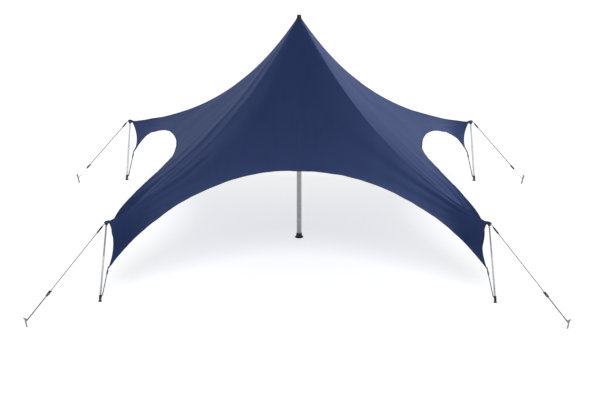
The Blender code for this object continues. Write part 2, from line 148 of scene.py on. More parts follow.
# woven polyester webbing: matt, ribbed across its width, slightly soiled
def makeWebbing(name, dark, light, ribPitch):
    material, tree, shader, place = startMaterial(name, {
        "Roughness": 0.78, "IOR": 1.5, "Sheen Weight": 0.15, "Sheen Roughness": 0.5,
    })
    cloth = addNode(tree, "ShaderNodeUVMap", {"uv_map": "surface"})
    ribs = addNode(tree, "ShaderNodeTexWave", {"bands_direction": "Y"},
                   {"Scale": 0.314 / ribPitch, "Distortion": 0.3}, {"Vector": cloth.outputs["UV"]})
    cords = addNode(tree, "ShaderNodeTexWave", {"bands_direction": "X"},
                    {"Scale": 0.314 / (ribPitch * 1.6)}, {"Vector": cloth.outputs["UV"]})
    weave = addNode(tree, "ShaderNodeMath", {"operation": "MULTIPLY"},
                    links={0: ribs.outputs["Fac"], 1: cords.outputs["Fac"]})
    soil = addNode(tree, "ShaderNodeTexNoise", values={"Scale": 9.0, "Detail": 4.0}, links={"Vector": place})
    mixed = addNode(tree, "ShaderNodeMath", {"operation": "MULTIPLY_ADD"}, {1: 0.35},
                    {0: weave.outputs[0], 2: soil.outputs["Fac"]})
    twoTone(tree, shader, mixed.outputs[0], dark, light, 0.35, 0.85)
    bumped(tree, shader, [(weave.outputs[0], 0.5, ribPitch * 0.3)])
    return material


# moulded nylon: near black, fine moulded grain, dull with slightly polished patches
def makeMoulding():
    material, tree, shader, place = startMaterial("mouldedNylon", {"Roughness": 0.5, "IOR": 1.52})
    grain = addNode(tree, "ShaderNodeTexNoise", values={"Scale": 900.0, "Detail": 2.0}, links={"Vector": place})
    handled = addNode(tree, "ShaderNodeTexNoise", values={"Scale": 22.0, "Detail": 4.0}, links={"Vector": place})
    twoTone(tree, shader, handled.outputs["Fac"], "#101113", "#1b1c1f", 0.35, 0.7)
    roughBetween(tree, shader, handled.outputs["Fac"], 0.40, 0.62)
    bumped(tree, shader, [(grain.outputs["Fac"], 0.25, 0.0004)])
    return material


# drawn and anodised aluminium tube: satin grey with fine lines along the tube and a few scuffs
def makeTubeMetal(name, dark, light, roughLow, roughHigh):
    material, tree, shader, place = startMaterial(name, {"Metallic": 1.0, "Roughness": 0.35})
    skin = addNode(tree, "ShaderNodeUVMap", {"uv_map": "surface"})
    drawnRun = addNode(tree, "ShaderNodeMapping", values={"Scale": (520.0, 3.0, 1.0)},
                       links={"Vector": skin.outputs["UV"]})
    drawn = addNode(tree, "ShaderNodeTexNoise", values={"Scale": 1.0, "Detail": 3.0},
                    links={"Vector": drawnRun.outputs["Vector"]})
    scuffs = addNode(tree, "ShaderNodeTexNoise", values={"Scale": 14.0, "Detail": 6.0, "Roughness": 0.7},
                     links={"Vector": place})
    twoTone(tree, shader, scuffs.outputs["Fac"], dark, light, 0.30, 0.62)
    roughBetween(tree, shader, scuffs.outputs["Fac"], roughLow, roughHigh)
    bumped(tree, shader, [(drawn.outputs["Fac"], 0.25, 0.0006)])
    return material


# hot-dip galvanised steel: patchy zinc spangle, dull grey, darker where it is rubbed
def makeGalvanised():
    material, tree, shader, place = startMaterial("galvanisedSteel", {"Metallic": 1.0, "Roughness": 0.45})
    spangle = addNode(tree, "ShaderNodeTexVoronoi", {"feature": "F1"}, {"Scale": 70.0, "Randomness": 1.0},
                      {"Vector": place})
    wear = addNode(tree, "ShaderNodeTexNoise", values={"Scale": 30.0, "Detail": 5.0}, links={"Vector": place})
    grey = addNode(tree, "ShaderNodeSeparateColor", links={"Color": spangle.outputs["Color"]})
    mixed = addNode(tree, "ShaderNodeMath", {"operation": "MULTIPLY_ADD"}, {1: 0.4},
                    {0: grey.outputs["Red"], 2: wear.outputs["Fac"]})
    twoTone(tree, shader, mixed.outputs[0], "#77797a", "#a9abac", 0.35, 0.95)
    roughBetween(tree, shader, mixed.outputs[0], 0.36, 0.60)
    bumped(tree, shader, [(wear.outputs["Fac"], 0.3, 0.001)])
    return material


# braided polyester cord, fibres lying along each strand
def makeCordFibre():
    material, tree, shader, place = startMaterial("braidedCord", {"Roughness": 0.8, "IOR": 1.5, "Sheen Weight": 0.2})
    fibre = addNode(tree, "ShaderNodeTexNoise", values={"Scale": 240.0, "Detail": 3.0}, links={"Vector": place})
    twoTone(tree, shader, fibre.outputs["Fac"], "#2b2c2d", "#4a4b4d", 0.3, 0.7)
    bumped(tree, shader, [(fibre.outputs["Fac"], 0.4, 0.0008)])
    return material


# pale seamless studio floor, faintly uneven so that it is not a flat colour
def makeFloor():
    material, tree, shader, place = startMaterial("studioFloor", {
        "Roughness": 0.9, "Emission Strength": 0.68, "Emission Color": linear("#ffffff")})
    uneven = addNode(tree, "ShaderNodeTexNoise", values={"Scale": 0.05, "Detail": 2.0}, links={"Vector": place})
    twoTone(tree, shader, uneven.outputs["Fac"], "#f2f2f3", "#f6f6f6")
    return material


canopyCloth = makeCloth("navyPolyester", "#1b2e5b", "#24396a", 0.006)
seamTape = makeCloth("navySeamTape", "#1a2d59", "#233868", 0.004)
blackWebbing = makeWebbing("blackWebbing", "#121316", "#25272b", 0.0030)
greyWebbing = makeWebbing("greyWebbing", "#5d5f61", "#8b8d8f", 0.0034)
nylon = makeMoulding()
# the mast's greys are darker than the legs' greys of the same aluminium: painted shade for the mast standing in the
# canopy's shadow
mastMetalPaintedShade = makeTubeMetal("anodisedMastPaintedShade", "#8a8b8c", "#9fa0a1", 0.30, 0.46)
legMetal = makeTubeMetal("anodisedLeg", "#b9babb", "#cfd0d1", 0.26, 0.42)
zinc = makeGalvanised()
cordFibre = makeCordFibre()
threadFibre = makeWebbing("bondedThread", "#2c3a63", "#42517d", 0.0020)
print("materials made")


# shapes are gathered as points, faces and a surface map in metres, then made into one piece
def blankShape():
    return {"points": [], "faces": [], "uvs": [], "finishes": []}


def addFaces(shape, points, faces, uvs, finish):
    start = len(shape["points"])
    shape["points"] += [tuple(p) for p in points]
    shape["faces"] += [tuple(start + i for i in face) for face in faces]
    shape["uvs"] += uvs
    shape["finishes"] += [finish] * len(faces)


def aim(start, end, side=None):
    z = (Vector(end) - Vector(start)).normalized()
    hint = Vector(side) if side is not None else Vector((1, 0, 0))
    if abs(hint.normalized().dot(z)) > 0.98:
        hint = Vector((0, 1, 0))
    x = (hint - z * hint.dot(z)).normalized()
    return Matrix.Translation(Vector(start)) @ Matrix((x, z.cross(x), z)).transposed().to_4x4()


def addTurned(shape, profile, place, finish=0, steps=32):
    # profile of (radius, height), turned about the z axis of place
    profile = [Vector((r, z)) for r, z in profile]
    closed = profile[0].x > 0 and profile[-1].x > 0
    run = [0.0]
    for a, b in zip(profile[:-1], profile[1:]):
        run.append(run[-1] + (b - a).length)
    points, rings = [], []
    for r, z in profile:
        if r == 0:
            points.append(place @ Vector((0, 0, z)))
            rings.append([len(points) - 1] * steps)
        else:
            rings.append(list(range(len(points), len(points) + steps)))
            points += [place @ Vector((r * math.cos(math.tau * k / steps), r * math.sin(math.tau * k / steps), z))
                       for k in range(steps)]
    wide = max(p.x for p in profile) * math.tau
    faces, uvs = [], []
    pairs = list(range(len(profile) - 1)) + ([-1] if closed else [])
    for n in pairs:
        low, high = rings[n], rings[n + 1]
        v0, v1 = run[n], run[n + 1] if n >= 0 else run[-1] + 0.01
        for k in range(steps):
            m = (k + 1) % steps
            corners = [(low[k], k, v0), (low[m], k + 1, v0), (high[m], k + 1, v1), (high[k], k, v1)]
            kept = [c for i, c in enumerate(corners) if c[0] not in [d[0] for d in corners[:i]]]
            if len(kept) > 2:
                faces.append([c[0] for c in kept])
                uvs.append([(c[1] / steps * wide, c[2]) for c in kept])
    addFaces(shape, points, faces, uvs, finish)


def addSweep(shape, path, profile, finish=0, side=None, closed=False, grow=None):
    # profile of (side, lift) carried along path; side is the wanted direction of its first axis
    path = [Vector(p) for p in path]
    count, ring = len(path), len(profile)
    hint = Vector(side) if side is not None else None
    points, run, far = [], [], 0.0
    for n, point in enumerate(path):
        ahead = path[(n + 1) % count] if closed else path[min(n + 1, count - 1)]
        behind = path[n - 1] if closed or n else path[n]
        forward = (ahead - behind).normalized()
        if hint is None:
            hint = forward.orthogonal()
        across = (hint - forward * hint.dot(forward)).normalized()
        if side is None:
            hint = across
        lift = forward.cross(across)
        size = grow[n] if grow else 1.0
        points += [point + across * a * size + lift * b * size for a, b in profile]
        if n:
            far += (point - path[n - 1]).length
        run.append(far)
    girth = [0.0]
    for a, b in zip(profile, profile[1:] + profile[:1]):
        girth.append(girth[-1] + math.dist(a, b))
    faces, uvs = [], []
    for n in range(count if closed else count - 1):
        m = (n + 1) % count
        far = run[m] if m else run[n] + (path[0] - path[n]).length
        for k in range(ring):
            j = (k + 1) % ring
            faces.append((n * ring + k, n * ring + j, m * ring + j, m * ring + k))
            uvs.append([(girth[k], run[n]), (girth[k + 1], run[n]), (girth[k + 1], far), (girth[k], far)])
    if not closed:
        for n, order in ((0, -1), (count - 1, 1)):
            faces.append(tuple(n * ring + k for k in range(ring))[::order])
            uvs.append([tuple(profile[k]) for k in range(ring)][::order])
    addFaces(shape, points, faces, uvs, finish)


def addBlock(shape, size, place, finish=0, round=0.002, segments=2):
    block = bmesh.new()
    bmesh.ops.create_cube(block, size=1.0)
    bmesh.ops.transform(block, matrix=Matrix.Diagonal((*size, 1)), verts=block.verts)
    if round:
        bmesh.ops.bevel(block, geom=block.edges[:], offset=round, segments=segments, profile=0.6, affect="EDGES")
    block.verts.index_update()
    points = [place @ v.co for v in block.verts]
    faces = [[v.index for v in f.verts] for f in block.faces]
    uvs = []
    for f in block.faces:
        flat = max(range(3), key=lambda i: abs(f.normal[i]))
        uvs.append([tuple(v.co[i] for i in range(3) if i != flat) for v in f.verts])
    block.free()
    addFaces(shape, points, faces, uvs, finish)


def circle(radius, sides=12, flat=1.0):
    return [(radius * math.cos(math.tau * k / sides), radius * flat * math.sin(math.tau * k / sides))
            for k in range(sides)]


def strapSection(width, thick):
    # flat strap with rounded edges
    edge = thick / 2
    return [(-width / 2, 0), (-width / 2 + edge * 0.4, -edge), (width / 2 - edge * 0.4, -edge), (width / 2, 0),
            (width / 2 - edge * 0.4, edge), (-width / 2 + edge * 0.4, edge)]


def makePiece(name, shape, finishes, nodes=(), sharp=38.0):
    mesh = bpy.data.meshes.new(name)
    mesh.from_pydata(shape["points"], [], shape["faces"])
    surface = mesh.uv_layers.new(name="surface")
    surface.data.foreach_set("uv", np.array([c for face in shape["uvs"] for uv in face for c in uv], np.float32))
    for finish in finishes:
        mesh.materials.append(finish)
    mesh.polygons.foreach_set("material_index", shape["finishes"])
    outward = bmesh.new()
    outward.from_mesh(mesh)
    bmesh.ops.remove_doubles(outward, verts=outward.verts, dist=1e-6)
    bmesh.ops.recalc_face_normals(outward, faces=outward.faces)
    outward.to_mesh(mesh)
    outward.free()
    mesh.shade_smooth()
    mesh.set_sharp_from_angle(angle=math.radians(sharp))
    piece = bpy.data.objects.new(name, mesh)
    return keepPiece(piece, nodes)


def keepPiece(piece, nodes=()):
    if piece.name not in scene.collection.objects:
        scene.collection.objects.link(piece)
    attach(piece, "root")
    if nodes:
        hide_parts(*nodes)
    return piece


# geometry node trees
def startTree(name, inputs):
    tree = bpy.data.node_groups.new(name, "GeometryNodeTree")
    tree.interface.new_socket("Geometry", in_out="INPUT", socket_type="NodeSocketGeometry")
    for label, kind, value in inputs:
        socket = tree.interface.new_socket(label, in_out="INPUT", socket_type="NodeSocket" + kind)
        if value is not None:
            socket.default_value = value
    tree.interface.new_socket("Geometry", in_out="OUTPUT", socket_type="NodeSocketGeometry")
    return tree, addNode(tree, "NodeGroupInput")


def endTree(tree, source, geometry):
    real = addNode(tree, "GeometryNodeRealizeInstances", links={0: geometry})
    smooth = addNode(tree, "GeometryNodeSetShadeSmooth", links={0: real.outputs[0]})
    painted = addNode(tree, "GeometryNodeSetMaterial",
                      links={"Geometry": smooth.outputs[0], "Material": source.outputs["Material"]})
    addNode(tree, "NodeGroupOutput", links={0: painted.outputs[0]})


def growTree(tree, name, lines, values, place=None):
    # lines: paths of points that the tree works on
    mesh = bpy.data.meshes.new(name)
    points, edges = [], []
    for line in lines:
        edges += [(len(points) + n, len(points) + n + 1) for n in range(len(line) - 1)]
        points += [tuple(p) for p in line]
    mesh.from_pydata(points, edges, [])
    piece = bpy.data.objects.new(name, mesh)
    scene.collection.objects.link(piece)
    modifier = piece.modifiers.new(name, "NODES")
    modifier.node_group = tree
    for item in tree.interface.items_tree:
        if item.in_out == "INPUT" and item.name in values:
            modifier[item.identifier] = values[item.name]
    graph = bpy.context.evaluated_depsgraph_get()
    grown = bpy.data.meshes.new_from_object(piece.evaluated_get(graph), preserve_all_data_layers=True,
                                            depsgraph=graph)
    piece.modifiers.clear()
    piece.data = grown
    bpy.data.meshes.remove(mesh)
    if place is not None:
        grown.transform(place)
    return piece


# stitches lying along seam lines
stitchTree, start = startTree("stitches along a seam", [
    ("Length", "Float", 0.018), ("Width", "Float", 0.0035), ("Spacing", "Float", 0.03),
    ("Seed", "Int", 4), ("Material", "Material", None),
])
seamLine = addNode(stitchTree, "GeometryNodeMeshToCurve", links={"Mesh": start.outputs["Geometry"]})
seamSteps = addNode(stitchTree, "GeometryNodeResampleCurve", {"mode": "LENGTH"},
                    links={"Curve": seamLine.outputs[0], "Length": start.outputs["Spacing"]})
oneStitch = addNode(stitchTree, "GeometryNodeMeshIcoSphere", values={"Radius": 0.5, "Subdivisions": 1})
seamWay = addNode(stitchTree, "GeometryNodeInputTangent")
seamTurn = addNode(stitchTree, "FunctionNodeAlignRotationToVector", {"axis": "X"},
                   links={"Vector": seamWay.outputs[0]})
uneven = addNode(stitchTree, "FunctionNodeRandomValue", {"data_type": "FLOAT"}, {2: 0.82, 3: 1.05},
                 {"Seed": start.outputs["Seed"]})
stitchLong = addNode(stitchTree, "ShaderNodeMath", {"operation": "MULTIPLY"},
                     links={0: start.outputs["Length"], 1: uneven.outputs[1]})
stitchSize = addNode(stitchTree, "ShaderNodeCombineXYZ", links={
    0: stitchLong.outputs[0], 1: start.outputs["Width"], 2: start.outputs["Width"]})
sewn = addNode(stitchTree, "GeometryNodeInstanceOnPoints", links={
    "Points": seamSteps.outputs[0], "Instance": oneStitch.outputs[0],
    "Rotation": seamTurn.outputs[0], "Scale": stitchSize.outputs[0]})
endTree(stitchTree, start, sewn.outputs[0])

# a round cord following its lines
cordTree, start = startTree("round cord on a path", [
    ("Radius", "Float", 0.005), ("Sides", "Int", 8), ("Material", "Material", None),
])
cordLine = addNode(cordTree, "GeometryNodeMeshToCurve", links={"Mesh": start.outputs["Geometry"]})
cordRound = addNode(cordTree, "GeometryNodeCurvePrimitiveCircle", links={
    "Resolution": start.outputs["Sides"], "Radius": start.outputs["Radius"]})
cordSkin = addNode(cordTree, "GeometryNodeCurveToMesh", values={"Fill Caps": True}, links={
    "Curve": cordLine.outputs[0], "Profile Curve": cordRound.outputs[0]})
endTree(cordTree, start, cordSkin.outputs[0])

# three strands laid round a straight line; Side and Lift are square to it
ropeTree, start = startTree("laid rope", [
    ("Radius", "Float", 0.006), ("Pitch", "Float", 0.06), ("Step", "Float", 0.0075),
    ("Side", "Vector", None), ("Lift", "Vector", None), ("Material", "Material", None),
])
ropeLine = addNode(ropeTree, "GeometryNodeMeshToCurve", links={"Mesh": start.outputs["Geometry"]})
ropeSteps = addNode(ropeTree, "GeometryNodeResampleCurve", {"mode": "LENGTH"},
                    links={"Curve": ropeLine.outputs[0], "Length": start.outputs["Step"]})
ropeFar = addNode(ropeTree, "GeometryNodeSplineParameter")
ropeTurns = addNode(ropeTree, "ShaderNodeMath", {"operation": "DIVIDE"},
                    links={0: ropeFar.outputs["Length"], 1: start.outputs["Pitch"]})
ropeAngle = addNode(ropeTree, "ShaderNodeMath", {"operation": "MULTIPLY"}, {1: math.tau},
                    {0: ropeTurns.outputs[0]})
strandOut = addNode(ropeTree, "ShaderNodeMath", {"operation": "MULTIPLY"}, {1: 0.48}, {0: start.outputs["Radius"]})
strandThick = addNode(ropeTree, "ShaderNodeMath", {"operation": "MULTIPLY"}, {1: 0.54}, {0: start.outputs["Radius"]})
strandRound = addNode(ropeTree, "GeometryNodeCurvePrimitiveCircle", values={"Resolution": 6},
                      links={"Radius": strandThick.outputs[0]})
ropeJoin = addNode(ropeTree, "GeometryNodeJoinGeometry")
for strand in range(3):
    turned = addNode(ropeTree, "ShaderNodeMath", {"operation": "ADD"}, {1: math.tau * strand / 3},
                     {0: ropeAngle.outputs[0]})
    offsets = []
    for wave, way in (("COSINE", "Side"), ("SINE", "Lift")):
        part = addNode(ropeTree, "ShaderNodeMath", {"operation": wave}, links={0: turned.outputs[0]})
        reach = addNode(ropeTree, "ShaderNodeMath", {"operation": "MULTIPLY"},
                        links={0: part.outputs[0], 1: strandOut.outputs[0]})
        offsets.append(addNode(ropeTree, "ShaderNodeVectorMath", {"operation": "SCALE"},
                               links={"Vector": start.outputs[way], "Scale": reach.outputs[0]}))
    moved = addNode(ropeTree, "ShaderNodeVectorMath", {"operation": "ADD"},
                    links={0: offsets[0].outputs[0], 1: offsets[1].outputs[0]})
    laid = addNode(ropeTree, "GeometryNodeSetPosition",
                   links={"Geometry": ropeSteps.outputs[0], "Offset": moved.outputs[0]})
    skin = addNode(ropeTree, "GeometryNodeCurveToMesh", values={"Fill Caps": True},
                   links={"Curve": laid.outputs[0], "Profile Curve": strandRound.outputs[0]})
    ropeTree.links.new(skin.outputs[0], ropeJoin.inputs[0])
endTree(ropeTree, start, ropeJoin.outputs[0])

# screw heads standing on a ring, each turned its own way
screwTree, start = startTree("ring of screws", [
    ("Count", "Int", 4), ("Ring radius", "Float", 0.085), ("Head radius", "Float", 0.007),
    ("Head height", "Float", 0.005), ("Sides", "Int", 6), ("Seed", "Int", 2), ("Material", "Material", None),
])
screwRing = addNode(screwTree, "GeometryNodeMeshCircle", links={
    "Vertices": start.outputs["Count"], "Radius": start.outputs["Ring radius"]})
screwHead = addNode(screwTree, "GeometryNodeMeshCylinder", links={
    "Vertices": start.outputs["Sides"], "Radius": start.outputs["Head radius"],
    "Depth": start.outputs["Head height"]})
screwTurn = addNode(screwTree, "FunctionNodeRandomValue", {"data_type": "FLOAT"}, {2: 0.0, 3: 6.28},
                    {"Seed": start.outputs["Seed"]})
screwAngle = addNode(screwTree, "ShaderNodeCombineXYZ", links={2: screwTurn.outputs[1]})
screws = addNode(screwTree, "GeometryNodeInstanceOnPoints", links={
    "Points": screwRing.outputs[0], "Instance": screwHead.outputs[0], "Rotation": screwAngle.outputs[0]})
endTree(screwTree, start, screws.outputs[0])

# upright ribs set round a ring, for grips and gussets
ribTree, start = startTree("ribs round a ring", [
    ("Count", "Int", 24), ("Ring radius", "Float", 0.05), ("Rib size", "Vector", None),
    ("Material", "Material", None),
])
ribRing = addNode(ribTree, "GeometryNodeMeshCircle", links={
    "Vertices": start.outputs["Count"], "Radius": start.outputs["Ring radius"]})
oneRib = addNode(ribTree, "GeometryNodeMeshCube", links={"Size": start.outputs["Rib size"]})
ribPlace = addNode(ribTree, "GeometryNodeInputPosition")
ribTurn = addNode(ribTree, "FunctionNodeAlignRotationToVector", {"axis": "X"}, links={"Vector": ribPlace.outputs[0]})
ribs = addNode(ribTree, "GeometryNodeInstanceOnPoints", links={
    "Points": ribRing.outputs[0], "Instance": oneRib.outputs[0], "Rotation": ribTurn.outputs[0]})
endTree(ribTree, start, ribs.outputs[0])
print("node trees made")


# canopy: the fixed outline of the four panels
canopy = {
    "apexZ": 5.50, "ringRadius": 0.052, "tip": (4.305, 3.97, 1.743), "tail": (4.31, 4.42, 0.762),
    "ridgeSag": 1.60, "cornerHollow": (0.107, 0.045), "clothThickness": 0.004,
    # hems: middle (distance from the mast, height), then handles: along at the middle, and inward, across, up
    # at the tail, and how far the hem is drawn in behind the corner seam, and let out above that
    "frontCrown": (3.045, 2.669), "frontHem": (1.175, 1.350, 0.600, 1.700, 0.0, 0.0),
    "backHem": (0.800, 0.750, 0.600, 1.645, 0.0, 0.0),
    "sideCrown": (2.982, 2.270), "tuckReach": 0.40, "fullReach": 1.20,
    "rightHem": (1.200, 0.800, 0.110, 1.600, 0.120, 0.150),
    "leftHem": (1.600, 0.750, 0.105, 1.580, 0.200, 0.170),
    "sideBackHem": (2.800, 0.380, -0.045, 0.580, 0.050, 0.0),
    "columns": 132, "ridgeRows": 60, "cornerRows": 24, "filmPasses": 7, "hoopPull": 4.0,
    "pullSteps": 260, "stillEnough": 1e-14,
}
tip, tail = canopy["tip"], canopy["tail"]
rowCount = canopy["ridgeRows"] + canopy["cornerRows"]
columnCount = canopy["columns"]
share = np.linspace(-1.0, 1.0, columnCount + 1)
columnAt = share * (1.35 - 0.35 * share ** 2)     # columns stand closer near the ridges, where the folds are


def ridgeHeight(part):
    sag = canopy["ridgeSag"]
    fall = (np.exp(-sag * part) - np.exp(-sag)) / (1 - np.exp(-sag))
    return tip[2] + (canopy["apexZ"] - tip[2]) * fall


def panelEdge(tipXY, tailXY, hollow):
    reach = math.hypot(*tipXY)
    part = (np.arange(canopy["ridgeRows"] + 1) / canopy["ridgeRows"]) ** 1.12
    radius = canopy["ringRadius"] + (reach - canopy["ringRadius"]) * part
    ridge = np.stack([tipXY[0] / reach * radius, tipXY[1] / reach * radius, ridgeHeight(part)], 1)
    t = np.arange(1, canopy["cornerRows"] + 1) / canopy["cornerRows"]
    bow = 4 * t * (1 - t)
    corner = np.stack([tipXY[n] + (tailXY[n] - tipXY[n]) * t - hollow[n] * bow for n in (0, 1)]
                      + [tip[2] + (tail[2] - tip[2]) * t], 1)
    return np.concatenate([ridge, corner])


def relaxFilm(grid):
    # moves the inner points until the pulls in the taut cloth balance; high up it pulls harder across than down
    rows, columns = grid.shape[:2]
    index = np.arange(rows * columns).reshape(rows, columns)
    rowOf = np.repeat(np.arange(rows), columns)
    hoop = 1 + (canopy["hoopPull"] - 1) * (1 - rowOf / (rows - 1)) ** 2
    a, b, c, d = (index[:-1, :-1].ravel(), index[:-1, 1:].ravel(), index[1:, 1:].ravel(), index[1:, :-1].ravel())
    faces = np.concatenate([np.stack(f, 1) for f in ((a, b, c), (a, c, d), (a, b, d), (b, c, d))])
    points = grid.reshape(-1, 3).copy()
    count = len(points)
    inside = np.zeros(count, bool)
    inside[index[1:-1, 1:-1].ravel()] = True
    for _ in range(canopy["filmPasses"]):
        one, two, weight = [], [], []
        for k in range(3):
            p, q, r = faces[:, k], faces[:, (k + 1) % 3], faces[:, (k + 2) % 3]
            e, f = points[q] - points[p], points[r] - points[p]
            cot = (e * f).sum(1) / np.maximum(np.linalg.norm(np.cross(e, f), axis=1), 1e-9)
            one += [q, r]
            two += [r, q]
            weight += [np.clip(cot, 0.02, 8.0) * np.where(rowOf[q] == rowOf[r], hoop[q], 1.0)] * 2
        one, two, weight = np.concatenate(one), np.concatenate(two), np.concatenate(weight)
        total = np.bincount(one, weight, count)

        def pull(x):
            out = total[:, None] * x
            for n in range(3):
                out[:, n] -= np.bincount(one, weight * x[two, n], count)
            return out * inside[:, None]

        left = -pull(points)
        scaled = left / total[:, None]
        way, heat = scaled.copy(), (left * scaled).sum(0)
        for _ in range(canopy["pullSteps"]):
            pulled = pull(way)
            step = heat / np.maximum((way * pulled).sum(0), 1e-30)
            points += step * way
            left -= step * pulled
            scaled = left / total[:, None]
            cooler = (left * scaled).sum(0)
            way = scaled + cooler / np.maximum(heat, 1e-30) * way
            heat = cooler
            if heat.max() < canopy["stillEnough"]:
                break
    return points.reshape(rows, columns, 3)


def halfHem(shares, tailXY, crown, hem):
    middle, end = np.array((0.0, *crown)), np.array((*tailXY, tail[2]))
    near, far = middle + np.array((hem[0], 0, 0)), end + np.array((-hem[1], -hem[2], hem[3]))
    t = np.linspace(0, 1, 401)[:, None]
    curve = (1 - t) ** 3 * middle + 3 * (1 - t) ** 2 * t * near + 3 * (1 - t) * t * t * far + t ** 3 * end
    run = np.concatenate([[0.0], np.cumsum(np.linalg.norm(np.diff(curve, axis=0), axis=1))])
    nearTail = (run[-1] - run) / canopy["tuckReach"]
    curve[:, 1] -= hem[4] * nearTail * np.exp(0.5 * (1 - nearTail ** 2))
    aboveTail = ((run[-1] - run) / canopy["fullReach"]) ** 2
    curve[:, 1] += hem[5] * aboveTail * np.exp(1 - aboveTail)
    return np.stack([np.interp(shares * run[-1], run, curve[:, k]) for k in range(3)], 1)


def panelFilm(tipXY, tailXY, hollow, crown, hems):
    # grid [row][column] of (across, outward, up), from the ring down to the hem
    edge = panelEdge(tipXY, tailXY, hollow)
    swing = math.atan2(*tipXY)
    ring = canopy["ringRadius"]
    top = np.stack([ring * np.sin(columnAt * swing), ring * np.cos(columnAt * swing),
                    np.full(columnCount + 1, canopy["apexZ"])], 1)
    half = columnCount // 2
    hem = np.concatenate([halfHem(-columnAt[:half], tailXY, crown, hems[0]) * (-1, 1, 1),
                          halfHem(columnAt[half:], tailXY, crown, hems[1])])
    u = ((columnAt + 1) / 2)[None, :, None]
    v = np.linspace(0, 1, rowCount + 1)[:, None, None]
    leftEdge, rightEdge = (edge * (-1, 1, 1))[:, None], edge[:, None]
    corners = (1 - v) * ((1 - u) * top[0] + u * top[-1]) + v * ((1 - u) * hem[0] + u * hem[-1])
    grid = (1 - u) * leftEdge + u * rightEdge + (1 - v) * top[None] + v * hem[None] - corners
    return relaxFilm(grid)


frontFilm, backFilm = [panelFilm(tip[:2], tail[:2], canopy["cornerHollow"], canopy["frontCrown"], [canopy[hem]] * 2)
                       for hem in ("frontHem", "backHem")]
sideFilm, leftFilm = [panelFilm(tip[1::-1], tail[1::-1], canopy["cornerHollow"][::-1], canopy["sideCrown"],
                                (canopy[hem], canopy["sideBackHem"])) for hem in ("rightHem", "leftHem")]
leftFilm = leftFilm[:, ::-1] * (-1, 1, 1)

# the four panels joined into one closed round of columns: front, right, back, left
turns = [((1, 0), (0, -1)), ((0, 1), (1, 0)), ((-1, 0), (0, 1)), ((0, -1), (-1, 0))]
aroundCount = 4 * columnCount
panelShift = 12.0     # keeps the panels' surface maps apart
film = np.zeros((rowCount + 1, aroundCount, 3))
localUV = np.zeros((4, rowCount + 1, columnCount + 1, 2))
for n, (turn, panel) in enumerate(zip(turns, (frontFilm, sideFilm, backFilm, leftFilm))):
    world = np.stack([turn[0][0] * panel[..., 0] + turn[0][1] * panel[..., 1],
                      turn[1][0] * panel[..., 0] + turn[1][1] * panel[..., 1], panel[..., 2]], -1)
    film[:, n * columnCount:(n + 1) * columnCount] = world[:, :-1]
    drop = np.concatenate([[np.zeros(columnCount + 1)],
                           np.cumsum(np.linalg.norm(np.diff(panel, axis=0), axis=2), axis=0)])
    localUV[n, ..., 0] = panel[..., 0] + panelShift * n
    localUV[n, ..., 1] = drop


def roundNormals(points):
    side = np.roll(points, -1, axis=1) - np.roll(points, 1, axis=1)
    down = np.gradient(points, axis=0)
    normal = np.cross(side, -down)
    normal /= np.maximum(np.linalg.norm(normal, axis=2, keepdims=True), 1e-12)
    middle = normal[rowCount // 2, columnCount // 2]
    return normal if middle @ np.array((0, -1, 0.5)) > 0 else -normal


filmNormal = roundNormals(film)
print("canopy film relaxed")


# small tools for the folds
def smoothStep(x, low, high):
    t = np.clip((x - low) / (high - low), 0, 1)
    return t * t * (3 - 2 * t)


def offLine(points, line):
    # distance from each point to a run of straight pieces
    best = np.full(points.shape[:-1], np.inf)
    for start, end in zip(line[:-1], line[1:]):
        way = end - start
        t = np.clip(((points - start) @ way) / (way @ way), 0, 1)
        best = np.minimum(best, np.linalg.norm(points - start - t[..., None] * way, axis=-1))
    return best


# folds fan out from each tip, at (degrees from the ridge, width in degrees); ripples lie all over the cloth,
# puckers at the hems, and the middle seams draw in
folds = {
    "fan": ((3.2, 1.3), (7.0, 1.6), (11.5, 2.0), (17.5, 2.6), (25.0, 3.4), (35.0, 4.5), (50.0, 6.0)),
    "fanDepth": 0.013, "fanReach": 3.1, "fanFade": (1.8, 4.5), "middlePull": 0.032,
    "rippleCount": 16, "rippleLong": (0.45, 1.3), "rippleDepth": 0.0035,
    "puckerLong": 0.34, "puckerDepth": 0.0022, "puckerReach": 0.55, "seed": 11,
}
# long folds beside a ridge: panel (0 front, 1 right, 2 back, 3 left), which of its two ridges, how far the fold
# lies from the ridge at each distance from the tip, its height, and its width towards the ridge and away from it
longFolds = [
    {"panel": 3, "last": True, "reach": (0.5, 1.3, 2.3, 3.0, 3.8, 4.6, 5.3, 5.9, 6.5),
     "offset": (0.26, 0.40, 0.43, 0.36, 0.36, 0.46, 0.35, 0.19, 0.09), "high": 0.034, "inner": 0.060, "outer": 0.22},
    {"panel": 3, "last": True, "reach": (0.5, 1.5, 2.5, 3.5, 4.5), "offset": (0.34, 0.62, 0.84, 0.94, 1.05),
     "high": 0.016, "inner": 0.070, "outer": 0.14},
    {"panel": 0, "last": False, "reach": (0.4, 1.3, 2.0, 2.6, 3.2), "offset": (0.10, 0.19, 0.29, 0.33, 0.36),
     "high": -0.020, "inner": 0.060, "outer": 0.10},
    {"panel": 3, "last": False, "reach": (0.3, 0.8, 1.4, 2.0, 2.8), "offset": (0.06, 0.12, 0.18, 0.17, 0.15),
     "high": 0.022, "inner": 0.050, "outer": 0.11},
    {"panel": 1, "last": True, "reach": (0.3, 0.8, 1.4, 2.0, 2.8), "offset": (0.06, 0.13, 0.19, 0.20, 0.16),
     "high": 0.022, "inner": 0.050, "outer": 0.11},
    {"panel": 1, "last": False, "reach": (0.5, 1.2, 2.0, 3.0, 4.2), "offset": (0.24, 0.40, 0.56, 0.70, 0.80),
     "high": 0.014, "inner": 0.070, "outer": 0.16},
]
